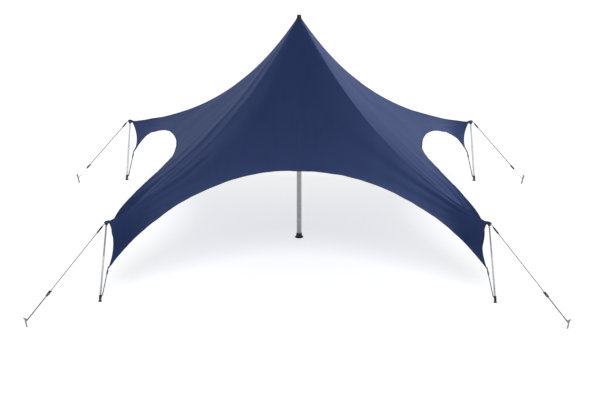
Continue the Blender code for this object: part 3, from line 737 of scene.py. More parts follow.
# the front left ridge is rounded over: the cloth stays full for some way onto the front panel
softRidge = {"panel": 0, "reach": (0.6, 1.4, 2.1, 2.8, 3.4, 3.9, 4.4, 4.9, 5.3, 5.8, 6.6),
             "offset": (0.08, 0.11, 0.17, 0.31, 0.43, 0.52, 0.56, 0.46, 0.34, 0.22, 0.12), "slope": 0.20}


def foldOffset(fold, reach):
    curve = np.polyfit(fold["reach"], fold["offset"], 4)
    return np.maximum(np.polyval(curve, np.clip(reach, fold["reach"][0], fold["reach"][-1])), 0.04)


chance = np.random.default_rng(folds["seed"])
lift = np.zeros(film.shape[:2])
ridgeColumns = [n * columnCount for n in range(4)]
for n in range(4):
    columns = (np.arange(columnCount + 1) + n * columnCount) % aroundCount
    area = film[:, columns]
    row = np.linspace(0, 1, rowCount + 1)[:, None] * np.ones(columnCount + 1)
    middleOff = np.abs(localUV[n, ..., 0] - panelShift * n)
    wide = middleOff[:, :1] + 1e-6
    inset = np.minimum(middleOff[:, :1] * (1 - middleOff / wide), 9.0)
    calm = smoothStep(inset, 0.0, 0.05)
    hemOff = np.abs(localUV[n, ..., 1][-1:] - localUV[n, ..., 1])
    crease = -folds["middlePull"] * np.exp(-middleOff / (0.10 + 0.20 * wide)) * smoothStep(row, 0.02, 0.30)
    ripple = np.zeros_like(row)
    for _ in range(folds["rippleCount"]):
        way = chance.uniform(0, math.tau)
        length = chance.uniform(*folds["rippleLong"])
        shift = chance.uniform(0, math.tau)
        phase = (localUV[n, ..., 0] * math.cos(way) + localUV[n, ..., 1] * math.sin(way) * 0.45) / length
        ripple += np.sin(phase * math.tau + shift) * (length / 0.9)
    ripple *= folds["rippleDepth"] * 0.45
    # short upright puckers above the hem
    pucker = np.sin(localUV[n, ..., 0] * math.tau / folds["puckerLong"] + 2.2 * np.sin(localUV[n, ..., 0] * 1.9 + n))
    nearHem = np.exp(-(hemOff / folds["puckerReach"]) ** 2)
    ripple += folds["puckerDepth"] * pucker * nearHem * smoothStep(wide - middleOff, 0.3, 1.2)
    panelLift = crease + ripple * calm * smoothStep(row, 0.05, 0.3)
    for end in (0, columnCount):
        tipPoint = area[canopy["ridgeRows"], end]
        ridge = area[:canopy["ridgeRows"] + 1, end]
        inward = ridge[-5] - ridge[-1]
        inward /= np.linalg.norm(inward)
        away = area - tipPoint
        reach = np.linalg.norm(away, axis=2)
        toRidge = offLine(area, ridge)
        angle = np.degrees(np.arctan2(toRidge, away @ inward))
        strength = smoothStep(reach, 0.10, 0.9) * np.exp(-(reach / folds["fanReach"]) ** 2)
        strength *= np.maximum(reach, 0.2) ** 0.45
        for middle, width in folds["fan"]:
            middle += chance.uniform(-0.8, 0.8)
            depth = folds["fanDepth"] * chance.uniform(0.5, 1.2) * chance.choice((-1, 1))
            fade = np.exp(-(reach / chance.uniform(*folds["fanFade"])) ** 2)
            panelLift += depth * np.exp(-((angle - middle) / width) ** 2) * strength * fade * calm
        for fold in [f for f in longFolds if f["panel"] == n and f["last"] == (end > 0)]:
            beside = toRidge - foldOffset(fold, reach)
            width = np.where(beside > 0, fold["outer"], fold["inner"])
            near = np.minimum(foldOffset(fold, reach) / 0.30, 1.0) ** 1.5
            along = smoothStep(reach, 0.15, 0.8) * (1 - smoothStep(reach, fold["reach"][-2], fold["reach"][-1] + 0.3))
            panelLift += fold["high"] * near * np.exp(-(beside / width) ** 2) * along * calm
        if n == softRidge["panel"] and end == 0:
            edgeAt = foldOffset(softRidge, reach)
            part = toRidge / edgeAt
            full = softRidge["slope"] * edgeAt * part / (1 + part ** 6) ** 0.3
            panelLift += full * smoothStep(reach, 0.1, 0.8) * smoothStep(row, 0.03, 0.12) * calm
    lift[:, columns[:-1]] = panelLift[:, :-1]
outer = film + lift[..., None] * filmNormal
outerNormal = roundNormals(outer)
inner = outer - canopy["clothThickness"] * outerNormal


def makeCanopy():
    rows, around = rowCount + 1, aroundCount
    index = np.arange(rows * around).reshape(rows, around)
    ahead = np.roll(index, -1, axis=1)
    a, b, c, d = index[:-1], ahead[:-1], ahead[1:], index[1:]
    over = np.stack([a, d, c, b], -1).reshape(-1, 4)
    under = np.stack([a, b, c, d], -1).reshape(-1, 4) + rows * around
    topRim = np.stack([index[0], ahead[0], ahead[0] + rows * around, index[0] + rows * around], -1)
    hemRim = np.stack([index[-1], index[-1] + rows * around, ahead[-1] + rows * around, ahead[-1]], -1)
    faces = np.concatenate([over, under, topRim, hemRim])
    points = np.concatenate([outer.reshape(-1, 3), inner.reshape(-1, 3)])
    k = np.tile(np.arange(around), rowCount)
    j = np.repeat(np.arange(rowCount), around)
    panel, column = k // columnCount, k % columnCount
    spot = [localUV[panel, j + dj, column + dk] for dj, dk in ((0, 0), (0, 1), (1, 1), (1, 0))]
    overUV = np.stack([spot[0], spot[3], spot[2], spot[1]], 1)
    underUV = np.stack(spot, 1)
    kk = np.arange(around)
    rim = []
    for j0 in (0, rowCount):
        near = localUV[kk // columnCount, j0, kk % columnCount]
        far = localUV[kk // columnCount, j0, kk % columnCount + 1]
        rim.append(np.stack([near, far, far, near] if j0 == 0 else [near, near, far, far], 1))
    uvs = np.concatenate([overUV, underUV, *rim])
    mesh = bpy.data.meshes.new("canopyCloth")
    mesh.from_pydata(points.tolist(), [], faces.tolist())
    surface = mesh.uv_layers.new(name="surface")
    surface.data.foreach_set("uv", uvs.astype(np.float32).ravel())
    mesh.materials.append(canopyCloth)
    mesh.shade_smooth()
    mesh.set_sharp_from_angle(angle=math.radians(50))
    cloth = bpy.data.objects.new("canopyCloth", mesh)
    return keepPiece(cloth, ["canopy_front", "canopy_right", "canopy_back", "canopy_left"])


canopyPiece = makeCanopy()
print("canopy made:", len(canopyPiece.data.polygons), "faces")


# points on the cloth, by row and column that may lie between the grid's own
def clothRow(row):
    low = min(int(row), rowCount - 1)
    part = row - low
    return (outer[low] * (1 - part) + outer[low + 1] * part,
            outerNormal[low] * (1 - part) + outerNormal[low + 1] * part)


def walkAlong(points, normals, distance):
    # the point and normal at that distance along a run of points
    far = 0.0
    for n in range(len(points) - 1):
        step = np.linalg.norm(points[n + 1] - points[n])
        if far + step >= distance or n == len(points) - 2:
            part = (distance - far) / max(step, 1e-9)
            point = points[n] * (1 - part) + points[n + 1] * part
            normal = normals[n] * (1 - part) + normals[n + 1] * part
            return point, normal / np.linalg.norm(normal)
        far += step
    return points[-1], normals[-1]


def acrossCloth(row, column, offsets):
    # points beside a column, at signed distances along the row
    points, normals = clothRow(row)
    found = []
    for offset in offsets:
        way = 1 if offset >= 0 else -1
        picks = [(column + way * n) % aroundCount for n in range(columnCount // 2)]
        found.append(walkAlong(points[picks], normals[picks], abs(offset)))
    return found


def downCloth(column, offsets):
    # points above the hem, at distances up a column
    points, normals = outer[::-1, column % aroundCount], outerNormal[::-1, column % aroundCount]
    return [walkAlong(points, normals, offset) for offset in offsets]


def bandOnCloth(shape, stations, high, finish=0):
    # stations: runs of (point, normal) across the band; the top stands high over the cloth, the rest is in it
    ring, points, uvs = [], [], []
    far = 0.0
    for n, run in enumerate(stations):
        if n:
            far += float(np.linalg.norm(run[0][0] - stations[n - 1][0][0]))
        last = len(run) - 1
        over = [p + v * (high if 0 < i < last else 0.0) for i, (p, v) in enumerate(run)]
        under = [p - v * 0.0015 for p, v in run[1:-1]][::-1]
        wide = [0.0]
        for p, q in zip(over + under, (over + under)[1:]):
            wide.append(wide[-1] + float(np.linalg.norm(q - p)))
        points += over + under
        ring.append((len(over) + len(under), wide, far))
    size = ring[0][0]
    faces = []
    for n in range(len(stations) - 1):
        for k in range(size):
            j = (k + 1) % size
            faces.append((n * size + k, (n + 1) * size + k, (n + 1) * size + j, n * size + j))
            wideNow = ring[n][1]
            near, nextOne = wideNow[k], wideNow[j] if j else wideNow[k] + 0.01
            uvs.append([(near, ring[n][2]), (near, ring[n + 1][2]), (nextOne, ring[n + 1][2]), (nextOne, ring[n][2])])
    for n, order in ((0, 1), (len(stations) - 1, -1)):
        faces.append(tuple(n * size + k for k in range(size))[::order])
        uvs.append([(ring[n][1][k], 0.0) for k in range(size)][::order])
    addFaces(shape, points, faces, uvs, finish)


# tapes and hems; the real stitches are 4 mm, drawn 16 mm long so that they show
sewing = {
    "ridgeHalf": 0.034, "ridgeHigh": 0.0022, "middleHalf": 0.016, "middleHigh": 0.0013,
    "cornerHalf": 0.026, "hemHalf": 0.075, "hemHigh": 0.0018, "hemCord": 0.0055,
    "stitchInset": 0.006, "stitchLength": 0.016, "stitchWidth": 0.0032, "stitchSpacing": 0.026,
}
ridgeShape, middleShape, hemShape = blankShape(), blankShape(), blankShape()
stitchLines = []


def halfWidth(row, column, wanted, part=0.30):
    points, _ = clothRow(row)
    halfway = points[(column + columnCount // 2) % aroundCount]
    return min(wanted, part * float(np.linalg.norm(points[column] - halfway)))


for column in ridgeColumns:
    stations, lines = [], [[], []]
    for row in range(2, rowCount - 1):
        onRidge = row <= canopy["ridgeRows"]
        half = halfWidth(row, column, sewing["ridgeHalf"] if onRidge else sewing["cornerHalf"],
                         0.40 if onRidge else 0.12)
        edge = min(0.003, half * 0.2)
        stations.append(acrossCloth(row, column, [-half, -half + edge, -half / 2, 0.0, half / 2, half - edge, half]))
        inset = half - min(sewing["stitchInset"], half * 0.3)
        for line, offset in zip(lines, (-inset, inset)):
            (point, normal), = acrossCloth(row, column, [offset])
            line.append(point + normal * sewing["ridgeHigh"])
    bandOnCloth(ridgeShape, stations, sewing["ridgeHigh"])
    stitchLines += lines
    middle = column + columnCount // 2
    stations, lines = [], [[], []]
    for row in range(2, rowCount + 1):
        half = halfWidth(row, middle, sewing["middleHalf"])
        edge = min(0.002, half * 0.25)
        stations.append(acrossCloth(row, middle, [-half, -half + edge, 0.0, half - edge, half]))
        for line, offset in zip(lines, (-half * 0.6, half * 0.6)):
            (point, normal), = acrossCloth(row, middle, [offset])
            line.append(point + normal * sewing["middleHigh"])
    bandOnCloth(middleShape, stations, sewing["middleHigh"])
    stitchLines += lines
hemCords = []
for n in range(4):
    stations, lines, edgeLine = [], [[], []], []
    for k in range(0, columnCount + 1):
        column = n * columnCount + k
        end = min(k, columnCount - k)
        half = sewing["hemHalf"] * min(1.0, 0.10 + end / 9)
        stations.append(downCloth(column, [0.0, half * 0.5, half - 0.002, half]))
        for line, offset in zip(lines, (0.012, max(half - 0.006, 0.014))):
            if 3 <= k <= columnCount - 3:
                (point, normal), = downCloth(column, [offset])
                line.append(point + normal * sewing["hemHigh"])
        edgeLine.append((outer[-1, column % aroundCount] + inner[-1, column % aroundCount]) / 2)
    bandOnCloth(hemShape, stations, sewing["hemHigh"])
    stitchLines += lines
    hemCords.append(edgeLine)

ridgeTape = makePiece("ridgeTape", ridgeShape, [seamTape], sharp=50)
middleTape = makePiece("middleSeamTape", middleShape, [seamTape], sharp=50)
hemTape = makePiece("hemTape", hemShape, [seamTape], sharp=50)
hemCord = keepPiece(growTree(cordTree, "hemCord", hemCords, {
    "Radius": sewing["hemCord"], "Sides": 8, "Material": seamTape}))
stitches = keepPiece(growTree(stitchTree, "canopyStitches", stitchLines, {
    "Length": sewing["stitchLength"], "Width": sewing["stitchWidth"], "Spacing": sewing["stitchSpacing"],
    "Seed": folds["seed"], "Material": threadFibre}))
print("tapes and hems made:", len(stitches.data.polygons), "stitch faces")


# black pockets that wrap each tip
pocket = {"above": 0.12, "below": 0.13, "half": 0.080, "high": 0.0035}
pocketShape = blankShape()
tipRow = canopy["ridgeRows"]
for column in ridgeColumns:
    ridgeStep = float(np.linalg.norm(outer[tipRow, column] - outer[tipRow - 1, column]))
    cornerStep = float(np.linalg.norm(outer[tipRow + 1, column] - outer[tipRow, column]))
    stations = []
    for t in np.linspace(-1, 1, 25):
        row = tipRow + (t * pocket["above"] / ridgeStep if t < 0 else t * pocket["below"] / cornerStep)
        half = pocket["half"] * (1 - abs(t) ** 2.2 * 0.72)
        offsets = [-half, -half + 0.003, -half * 0.66, -half * 0.33,
                   0.0, half * 0.33, half * 0.66, half - 0.003, half]
        stations.append(acrossCloth(row, column, offsets))
    bandOnCloth(pocketShape, stations, pocket["high"])
tipPockets = makePiece("tipPockets", pocketShape, [blackWebbing], sharp=50)

# cloth hood that carries the tip over the leg's head
hood = {"start": 0.075, "stop": 0.128, "half": 0.046, "high": 0.040, "below": 32, "thick": 0.0028}
hoodShape = blankShape()
for column in ridgeColumns:
    tipPoint = outer[tipRow, column]
    ahead = np.array((tipPoint[0], tipPoint[1], 0.0)) / math.hypot(tipPoint[0], tipPoint[1])
    across = np.array((-ahead[1], ahead[0], 0.0))
    ridgeStep = float(np.linalg.norm(outer[tipRow, column] - outer[tipRow - 1, column]))
    lean = math.radians(hood["below"])
    stations = []
    for t in np.linspace(0, 1, 15):
        far = -hood["start"] + (hood["start"] + hood["stop"]) * t
        swell = max(1 - max((far - 0.055) / (hood["stop"] - 0.055), 0) ** 2, 0.0) ** 0.5
        wide, tall = hood["half"] * swell, hood["high"] * swell
        middle = tipPoint + ahead * far + np.array((0, 0, -0.014 * swell))
        arc = []
        for angle in np.linspace(-lean, math.pi + lean, 15):
            out = across * -math.cos(angle) + np.array((0, 0, math.sin(angle)))
            arc.append((middle + across * -math.cos(angle) * wide + np.array((0, 0, math.sin(angle) * tall)), out))
        if far < 0:
            part = smoothStep(-far / hood["start"], 0.0, 1.0)
            offsets = np.linspace(-0.055, 0.055, 15)
            onCloth = acrossCloth(tipRow + far / ridgeStep, column, offsets)
            if (onCloth[0][0] - tipPoint) @ across > 0:
                onCloth = onCloth[::-1]
            arc = [((1 - part) * p + part * (q + v * 0.002), (1 - part) * o + part * v)
                   for (p, o), (q, v) in zip(arc, onCloth)]
        stations.append(arc)
    bandOnCloth(hoodShape, stations, hood["thick"])
tipHoods = makePiece("tipHoods", hoodShape, [seamTape], sharp=50)
print("tip pockets and hoods made")


# corners of the tent; marks: where a guy's sleeve starts and ends, then its ratchet, from the head's eye
corners = (("front_right", 1, -1), ("back_right", 1, 1), ("back_left", -1, 1), ("front_left", -1, -1))
leg = {
    "footXY": 4.50, "head": (4.352, 4.016, 1.735), "radius": 0.0245, "pivotZ": 0.045, "start": 0.075,
    "stop": 0.035, "eyeZ": 0.122, "eyeOut": 0.046, "buckle": 0.150,
    # the share of the leg at which its two tubes meet, and the pins' heights above that joint
    "splitAt": 0.58, "pins": (-0.055, 0.06, 0.12, 0.18),
}
guy = {
    "frontStake": (6.00, -6.14), "backStake": (5.71, 4.24), "stakeTall": 0.225, "stakeRadius": 0.018,
    "lean": 0.24, "hookZ": 0.150, "eye": 0.052, "radius": 0.009,
    "frontMarks": (0.10, 0.32, 2.13, 2.33), "backMarks": (0.07, 0.23, 1.59, 1.75),
    "strapWide": 0.034,
}


def legLine(sx, sy):
    foot = Vector((sx * leg["footXY"], sy * leg["footXY"], 0))
    head = Vector((sx * leg["head"][0], sy * leg["head"][1], leg["head"][2]))
    rise = (head - foot).normalized()
    pivot = foot + up * leg["pivotZ"]
    bottom = pivot + rise * (leg["start"] - leg["pivotZ"])
    top = head - rise * leg["stop"]
    return foot, head, bottom, top, (top - bottom).normalized()


def tailLine(sx, sy):
    foot, head = legLine(sx, sy)[:2]
    pivot = foot + up * leg["pivotZ"]
    tailPoint = Vector((sx * tail[0], sy * tail[1], tail[2]))
    onLeg = pivot.lerp(head, (leg["eyeZ"] - leg["pivotZ"]) / (leg["head"][2] - leg["pivotZ"]))
    pull = Vector((tailPoint.x - foot.x, tailPoint.y - foot.y, 0)).normalized()
    anchor = onLeg + pull * leg["eyeOut"]
    return tailPoint, anchor, (anchor - tailPoint).normalized(), pull


def guyLine(sx, sy):
    head = legLine(sx, sy)[1]
    stakeXY = guy["frontStake"] if sy < 0 else guy["backStake"]
    base = Vector((sx * stakeXY[0], stakeXY[1], 0))
    away = Vector((base.x - head.x, base.y - head.y, 0)).normalized()
    eye = head + away * guy["eye"]
    lean = (away * guy["lean"] + up).normalized()
    hook = base + lean * (guy["hookZ"] / lean.z) - away * (guy["stakeRadius"] + 0.010)
    return eye, hook, base, away, lean, (hook - eye).normalized()


def arcPath(centre, axisA, axisB, radiusA, radiusB, angles):
    return [centre + axisA * radiusA * math.cos(a) + axisB * radiusB * math.sin(a) for a in angles]


def turnAngles(share, steps):
    return np.linspace(0, math.tau * share, steps, endpoint=share < 1)


def moved(place, x, y, z):
    return place @ Matrix.Translation((x, y, z))


def drum(radius, half, edge, rim, bore=0.0):
    # profile of a disc or bar with its edges taken off
    return [(bore, -half), (radius - edge, -half), (radius, rim - half), (radius, half - rim),
            (radius - edge, half), (bore, half)]


def addRibs(shape, place, centre, radius, size, turnBy, edge):
    # eight grip ribs along a moulded cup
    for n in range(8):
        angle = math.tau * (n + turnBy) / 8
        out = place.to_3x3() @ Vector((math.cos(angle), math.sin(angle), 0))
        spot = centre + out * radius
        addBlock(shape, size, aim(spot, spot + place.to_3x3() @ Vector((0, 0, 1)), out), 0, edge, 2)


def makeLeg(name, tag, bottom, top, rise):
    # a lower tube with a rolled collar, and the upper tube that slides in it, with its pins
    shape = blankShape()
    r, long = leg["radius"], (top - bottom).length
    split = long * leg["splitAt"]
    along = aim(bottom, top)
    addTurned(shape, [(0, 0.0), (r - 0.001, 0.0), (r, 0.001), (r, split - 0.022), (r + 0.0022, split - 0.018),
                      (r + 0.0026, split - 0.006), (r + 0.0016, split), (r - 0.0024, split), (0, split)],
              along, 0, 36)
    addTurned(shape, [(0, split - 0.01), (r - 0.0028, split - 0.01), (r - 0.0028, long), (0, long)], along, 0, 36)
    sideWay = along.to_3x3() @ Vector((1, 0, 0))
    for n, height in enumerate(leg["pins"]):
        sunk, edge, dome, crest = (0.0030, 0.0012, 0.0018, 0.0020) if n else (0.0005, 0.0030, 0.0045, 0.0050)
        spot = bottom + rise * (split + height) + sideWay * (r - sunk)
        addTurned(shape, [(0, 0), (0.0045, 0), (0.0045, edge), (0.003, dome), (0, crest)], aim(spot, spot + sideWay),
                  1 if n else 2, 14)
    makePiece("leg" + name, shape, [legMetal, nylon, zinc], ["leg_" + tag])


def makeFoot(name, tag, foot, bottom, top, rise, anchor, down, pull, across):
    # moulded base, ribbed cup round the tube, lug and steel ring for the tail strap
    shape = blankShape()
    r = leg["radius"]
    addTurned(shape, [(0, 0), (0.040, 0), (0.044, 0.003), (0.044, 0.010), (0.041, 0.014), (0.034, 0.017),
                      (0.029, 0.024), (0.026, 0.034), (0.0255, 0.050), (0.022, 0.056), (0, 0.056)],
              Matrix.Translation(foot), 0, 40)
    addTurned(shape, [(0.0436, 0.0045), (0.0452, 0.0052), (0.0452, 0.0078), (0.0436, 0.0085)],
              Matrix.Translation(foot), 0, 40)
    cup = aim(bottom, top)
    addTurned(shape, [(0, -0.030), (0.021, -0.030), (0.027, -0.022), (r + 0.0068, -0.010), (r + 0.0068, 0.064),
                      (r + 0.0085, 0.066), (r + 0.0085, 0.073), (r + 0.0068, 0.076), (r + 0.0008, 0.077),
                      (r + 0.0004, 0.070), (r + 0.0004, 0.0), (0, 0.0)], cup, 0, 40)
    addRibs(shape, cup, bottom + rise * 0.028, r + 0.0066, (0.0040, 0.0036, 0.070), 0.5, 0.0010)
    addBlock(shape, (0.018, 0.012, 0.042), moved(aim(anchor - pull * 0.030, anchor, up), 0, 0, 0.012), 0, 0.0030, 3)
    addSweep(shape, arcPath(anchor - down * 0.004, pull, down, 0.0145, 0.0125, turnAngles(1, 28)),
             circle(0.0022, 10), 1, side=across, closed=True)
    makePiece("foot" + name, shape, [nylon, zinc], ["foot_" + tag])


def makeHead(name, tag, head, rise, tipPoint, eye, run, flat, square):
    # moulded cap on the tube, rounded lug under the cloth's tip, arm with a shackle for the guy
    shape = blankShape()
    r = leg["radius"]
    crown = aim(head, head + rise)
    addTurned(shape, [(r + 0.0004, -0.058), (r + 0.0075, -0.058), (r + 0.0095, -0.055), (r + 0.0095, -0.048),
                      (r + 0.0080, -0.046), (r + 0.0080, 0.004), (r + 0.0070, 0.012), (r + 0.0020, 0.020),
                      (0.014, 0.0245), (0, 0.025), (0, -0.034), (r + 0.0004, -0.034)], crown, 0, 40)
    addRibs(shape, crown, head - rise * 0.022, r + 0.0080, (0.0036, 0.0032, 0.046), 0, 0.0010)
    lugLong = (tipPoint - head).length
    lug = aim(head, tipPoint, (tipPoint - head).normalized().cross(up))
    addBlock(shape, (0.038, 0.012, lugLong - 0.002), moved(lug, 0, 0, lugLong / 2), 0, 0.0040, 3)
    addBlock(shape, (0.014, 0.026, guy["eye"] + 0.004), moved(aim(head, eye, up), 0, 0, guy["eye"] / 2), 0, 0.0035, 3)
    bow = [eye + flat * 0.0125, *arcPath(eye + run * 0.006, flat, run, 0.0125, 0.0105, turnAngles(0.5, 15)),
           eye - flat * 0.0125]
    addSweep(shape, bow, circle(0.0030, 10), 1, side=square)
    addTurned(shape, [(0, -0.019), (0.0050, -0.019), (0.0056, -0.018), (0.0056, -0.0145), (0.0030, -0.014),
                      (0.0030, 0.014), (0.0056, 0.0145), (0.0056, 0.018), (0.0050, 0.019), (0, 0.019)],
              aim(eye, eye + flat), 1, 18)
    makePiece("head" + name, shape, [nylon, zinc], ["head_" + tag])


def makeTailTie(name, tag, tailPoint, anchor, down, pull, across):
    # webbing from the cloth's tail, and a cam buckle with its lever
    shape = blankShape()
    buckleTop = tailPoint + down * 0.012
    buckleEnd = buckleTop + down * (leg["buckle"] - 0.004)
    body = aim(buckleTop, buckleEnd, pull)
    tab = [tailPoint - down * 0.060, tailPoint - down * 0.02, buckleTop, buckleTop + down * 0.05]
    addSweep(shape, tab, strapSection(0.026, 0.0060), 1, side=pull)
    addBlock(shape, (0.030, 0.0065, 0.088), moved(body, 0, 0, 0.062), 0, 0.0022, 3)
    for x in (-0.0145, 0.0145):
        addBlock(shape, (0.0032, 0.015, 0.100), moved(body, x, 0, 0.064), 0, 0.0014, 2)
    lever = moved(body, 0, 0.0075, 0.085) @ Matrix.Rotation(math.radians(-4), 4, "X")
    addBlock(shape, (0.022, 0.0045, 0.084), lever, 0, 0.0020, 3)
    for n in range(5):
        addBlock(shape, (0.018, 0.0016, 0.0030), moved(lever, 0, 0.0028, 0.012 + n * 0.006), 0, 0.0006, 1)
    wayOut = body.to_3x3() @ Vector((1, 0, 0))
    for z in (0.022, 0.108):
        spot = body @ Vector((-0.0165, 0, z))
        addTurned(shape, [(0, 0), (0.0036, 0), (0.0040, 0.0006), (0.0040, 0.0324), (0.0036, 0.033), (0, 0.033)],
                  aim(spot, spot + wayOut), 2, 14)
    makePiece("tailBuckle" + name, shape, [nylon, blackWebbing, zinc], ["tail_buckle_" + tag])

    # two layers of strap down to the foot's ring, the turn through it, and a keeper
    shape = blankShape()
    strapTop = buckleEnd - down * 0.045
    loopEnd = anchor - down * 0.014
    for shift in (-0.0016, 0.0016):
        addSweep(shape, [strapTop + across * shift, strapTop.lerp(loopEnd, 0.5) + across * shift * 0.9,
                         loopEnd - down * 0.012 + across * shift], strapSection(0.024, 0.0022), 0, side=pull)
    turn = [loopEnd - down * 0.014 - across * 0.0016,
            *arcPath(loopEnd + down * 0.0010, -across, down, 0.0036, 0.0040, turnAngles(0.5, 9)),
            loopEnd - down * 0.014 + across * 0.0016]
    addSweep(shape, turn, strapSection(0.0215, 0.0020), 0, side=pull)
    addBlock(shape, (0.020, 0.0062, 0.030), aim(loopEnd - down * 0.050, loopEnd - down * 0.02, pull), 1, 0.0008, 1)
    makePiece("tailStrap" + name, shape, [greyWebbing, blackWebbing], ["tail_strap_" + tag])


def makeGuy(name, tag, marks, eye, hook, run, flat, square):
    # laid cord, and a ribbed sleeve on it
    rope = growTree(ropeTree, "guyCord" + name, [[eye + run * 0.016, eye + run * (marks[2] + 0.012)]], {
        "Radius": guy["radius"], "Side": tuple(flat), "Lift": tuple(square), "Material": cordFibre})
    keepPiece(rope, ["guy_line_" + tag])
    shape = blankShape()
    long = marks[1] - marks[0]
    profile = [(0.0093, 0.0), (0.0138, 0.0), (0.0160, 0.010), (0.0182, 0.022)]
    for n in range(int((long - 0.06) / 0.012)):
        z = 0.026 + n * 0.012
        profile += [(0.0200, z), (0.0200, z + 0.006), (0.0186, z + 0.008), (0.0186, z + 0.010)]
    profile += [(0.0186, long - 0.026), (0.0155, long - 0.010), (0.0138, long), (0.0093, long)]
    addTurned(shape, profile, aim(eye + run * marks[0], hook), 0, 20)
    makePiece("guySleeve" + name, shape, [nylon], ["guy_sleeve_" + tag])

    # ratchet: two side plates with ratchet wheels, spool, slot bar, handle with grip bars, cord end
    shape = blankShape()
    long = marks[3] - marks[2]
    ratchet = aim(eye + run * marks[2], eye + run * marks[3], flat)
    axle = Matrix.Rotation(math.pi / 2, 4, "Y")
    for x in (-0.0215, 0.0215):
        addBlock(shape, (0.0035, 0.034, long * 0.80), moved(ratchet, x, 0, long * 0.50), 0, 0.0016, 2)
        addTurned(shape, drum(0.0215, 0.0025, 0.0010, 0.0010), moved(ratchet, x * 1.08, 0, long * 0.56) @ axle, 0, 30)
    spool = moved(ratchet, 0, 0, long * 0.56) @ axle
    addTurned(shape, drum(0.0076, 0.0255, 0.0006, 0.0007), spool, 1, 20)
    addTurned(shape, drum(0.0178, 0.0165, 0.0008, 0.0010, 0.0076), spool, 2, 26)
    addTurned(shape, [(0, -0.0235), (0.0048, -0.0235), (0.0048, 0.0235), (0, 0.0235)],
              moved(ratchet, 0, 0, long * 0.14) @ axle, 1, 16)
    for x in (-0.0165, 0.0165):
        addBlock(shape, (0.0030, 0.010, long * 0.62), moved(ratchet, x, 0.0165, long * 0.34), 0, 0.0014, 2)
    addBlock(shape, (0.040, 0.0105, long * 0.30), moved(ratchet, 0, 0.0170, long * 0.17), 0, 0.0035, 3)
    for n in range(5):
        addBlock(shape, (0.032, 0.0018, 0.0032), moved(ratchet, 0, 0.0226, long * (0.08 + 0.045 * n)), 0, 0.0007, 1)
    addSweep(shape, [eye + run * (marks[2] + far) for far in (-0.004, 0.016, long * 0.14)], circle(0.0085, 14), 0,
             side=flat, grow=[0.8, 1.0, 1.0])
    makePiece("ratchet" + name, shape, [nylon, zinc, greyWebbing], ["ratchet_" + tag])

    # two layers of strap to the stake, the turn round its hook, and the sewn patch
    shape = blankShape()
    strapStart = eye + run * (marks[2] + long * 0.62)
    strapEnd = hook - run * 0.030
    for shift in (-0.0017, 0.0017):
        addSweep(shape, [strapStart + square * shift * 5, eye + run * marks[3] + square * shift,
                         strapStart.lerp(strapEnd, 0.5) + square * shift, strapEnd + square * shift],
                 strapSection(guy["strapWide"], 0.0024), 0, side=flat)
    loop = [hook - run * 0.034 - square * 0.0018,
            *arcPath(hook - run * 0.008, -square, run, 0.0085, 0.0085, turnAngles(0.5, 11)),
            hook - run * 0.034 + square * 0.0018]
    addSweep(shape, loop, strapSection(guy["strapWide"] - 0.004, 0.0024), 0, side=flat)
    addBlock(shape, (guy["strapWide"] - 0.001, 0.0082, 0.048), aim(hook - run * 0.060, hook, flat), 1, 0.0010, 1)
    makePiece("guyStrap" + name, shape, [greyWebbing, blackWebbing], ["guy_strap_" + tag])


def makeStake(name, tag, base, hook, away, lean, run, flat, square):
    # a leaning bar cut level at the ground, a T head with its weld beads, and the hook that holds the strap
    shape = blankShape()
    shaftTop = base + lean * (guy["stakeTall"] / lean.z)
    long, radius, steps = (shaftTop - base).length, guy["stakeRadius"], 28
    shaft = aim(base, shaftTop)
    lower = []
    for n in range(steps):
        out = shaft.to_3x3() @ Vector((math.cos(math.tau * n / steps), math.sin(math.tau * n / steps), 0))
        spot = base + out * radius
        lower.append(spot - lean * (spot.z / lean.z))
    upper = [p + lean * ((shaftTop - p).dot(lean) - 0.004) for p in lower]
    capRing = [shaftTop + (p - shaftTop - lean * ((p - shaftTop).dot(lean))) * 0.86 for p in upper]
    faces, uvs = [], []
    for n in range(steps):
        m = (n + 1) % steps
        for low in (0, steps):
            faces.append((low + n, low + m, low + steps + m, low + steps + n))
            uvs.append([(n * 0.004, 0), (n * 0.004 + 0.004, 0), (n * 0.004 + 0.004, long), (n * 0.004, long)])
        faces += [(m, n, 3 * steps), (2 * steps + n, 2 * steps + m, 3 * steps + 1)]
        uvs += [[(0, 0), (0.004, 0), (0.002, 0.01)]] * 2
    addFaces(shape, lower + upper + capRing + [base.copy(), shaftTop.copy()], faces, uvs, 0)
    barMiddle = shaftTop - lean * 0.015
    barStart = barMiddle - lean.cross(away).normalized() * 0.050
    addTurned(shape, [(0, 0), (0.0140, 0), (0.0165, 0.0025), (0.0170, 0.005), (0.0170, 0.095), (0.0165, 0.0975),
                      (0.0140, 0.100), (0, 0.100)], aim(barStart, barMiddle), 0, 30)
    turned = shaft.to_3x3()
    weld = arcPath(barMiddle - lean * 0.0165, turned @ Vector((1, 0, 0)), turned @ Vector((0, 1, 0)),
                   radius + 0.0008, radius + 0.0008, turnAngles(1, 36))
    addSweep(shape, weld, circle(0.0030, 8), 0, closed=True, grow=[1 + 0.22 * math.sin(n * 2.4) for n in range(36)])
    addSweep(shape, arcPath(hook + away * 0.004 - run * 0.002, run, flat, 0.0150, 0.0200, turnAngles(1, 28)),
             circle(0.0034, 10), 0, side=square, closed=True)
    addBlock(shape, (0.020, 0.009, 0.020), moved(aim(hook + run * 0.008, hook + run * 0.028, flat), 0, 0, 0.006),
             0, 0.0025, 2)
    makePiece("stake" + name, shape, [zinc], ["stake_" + tag])


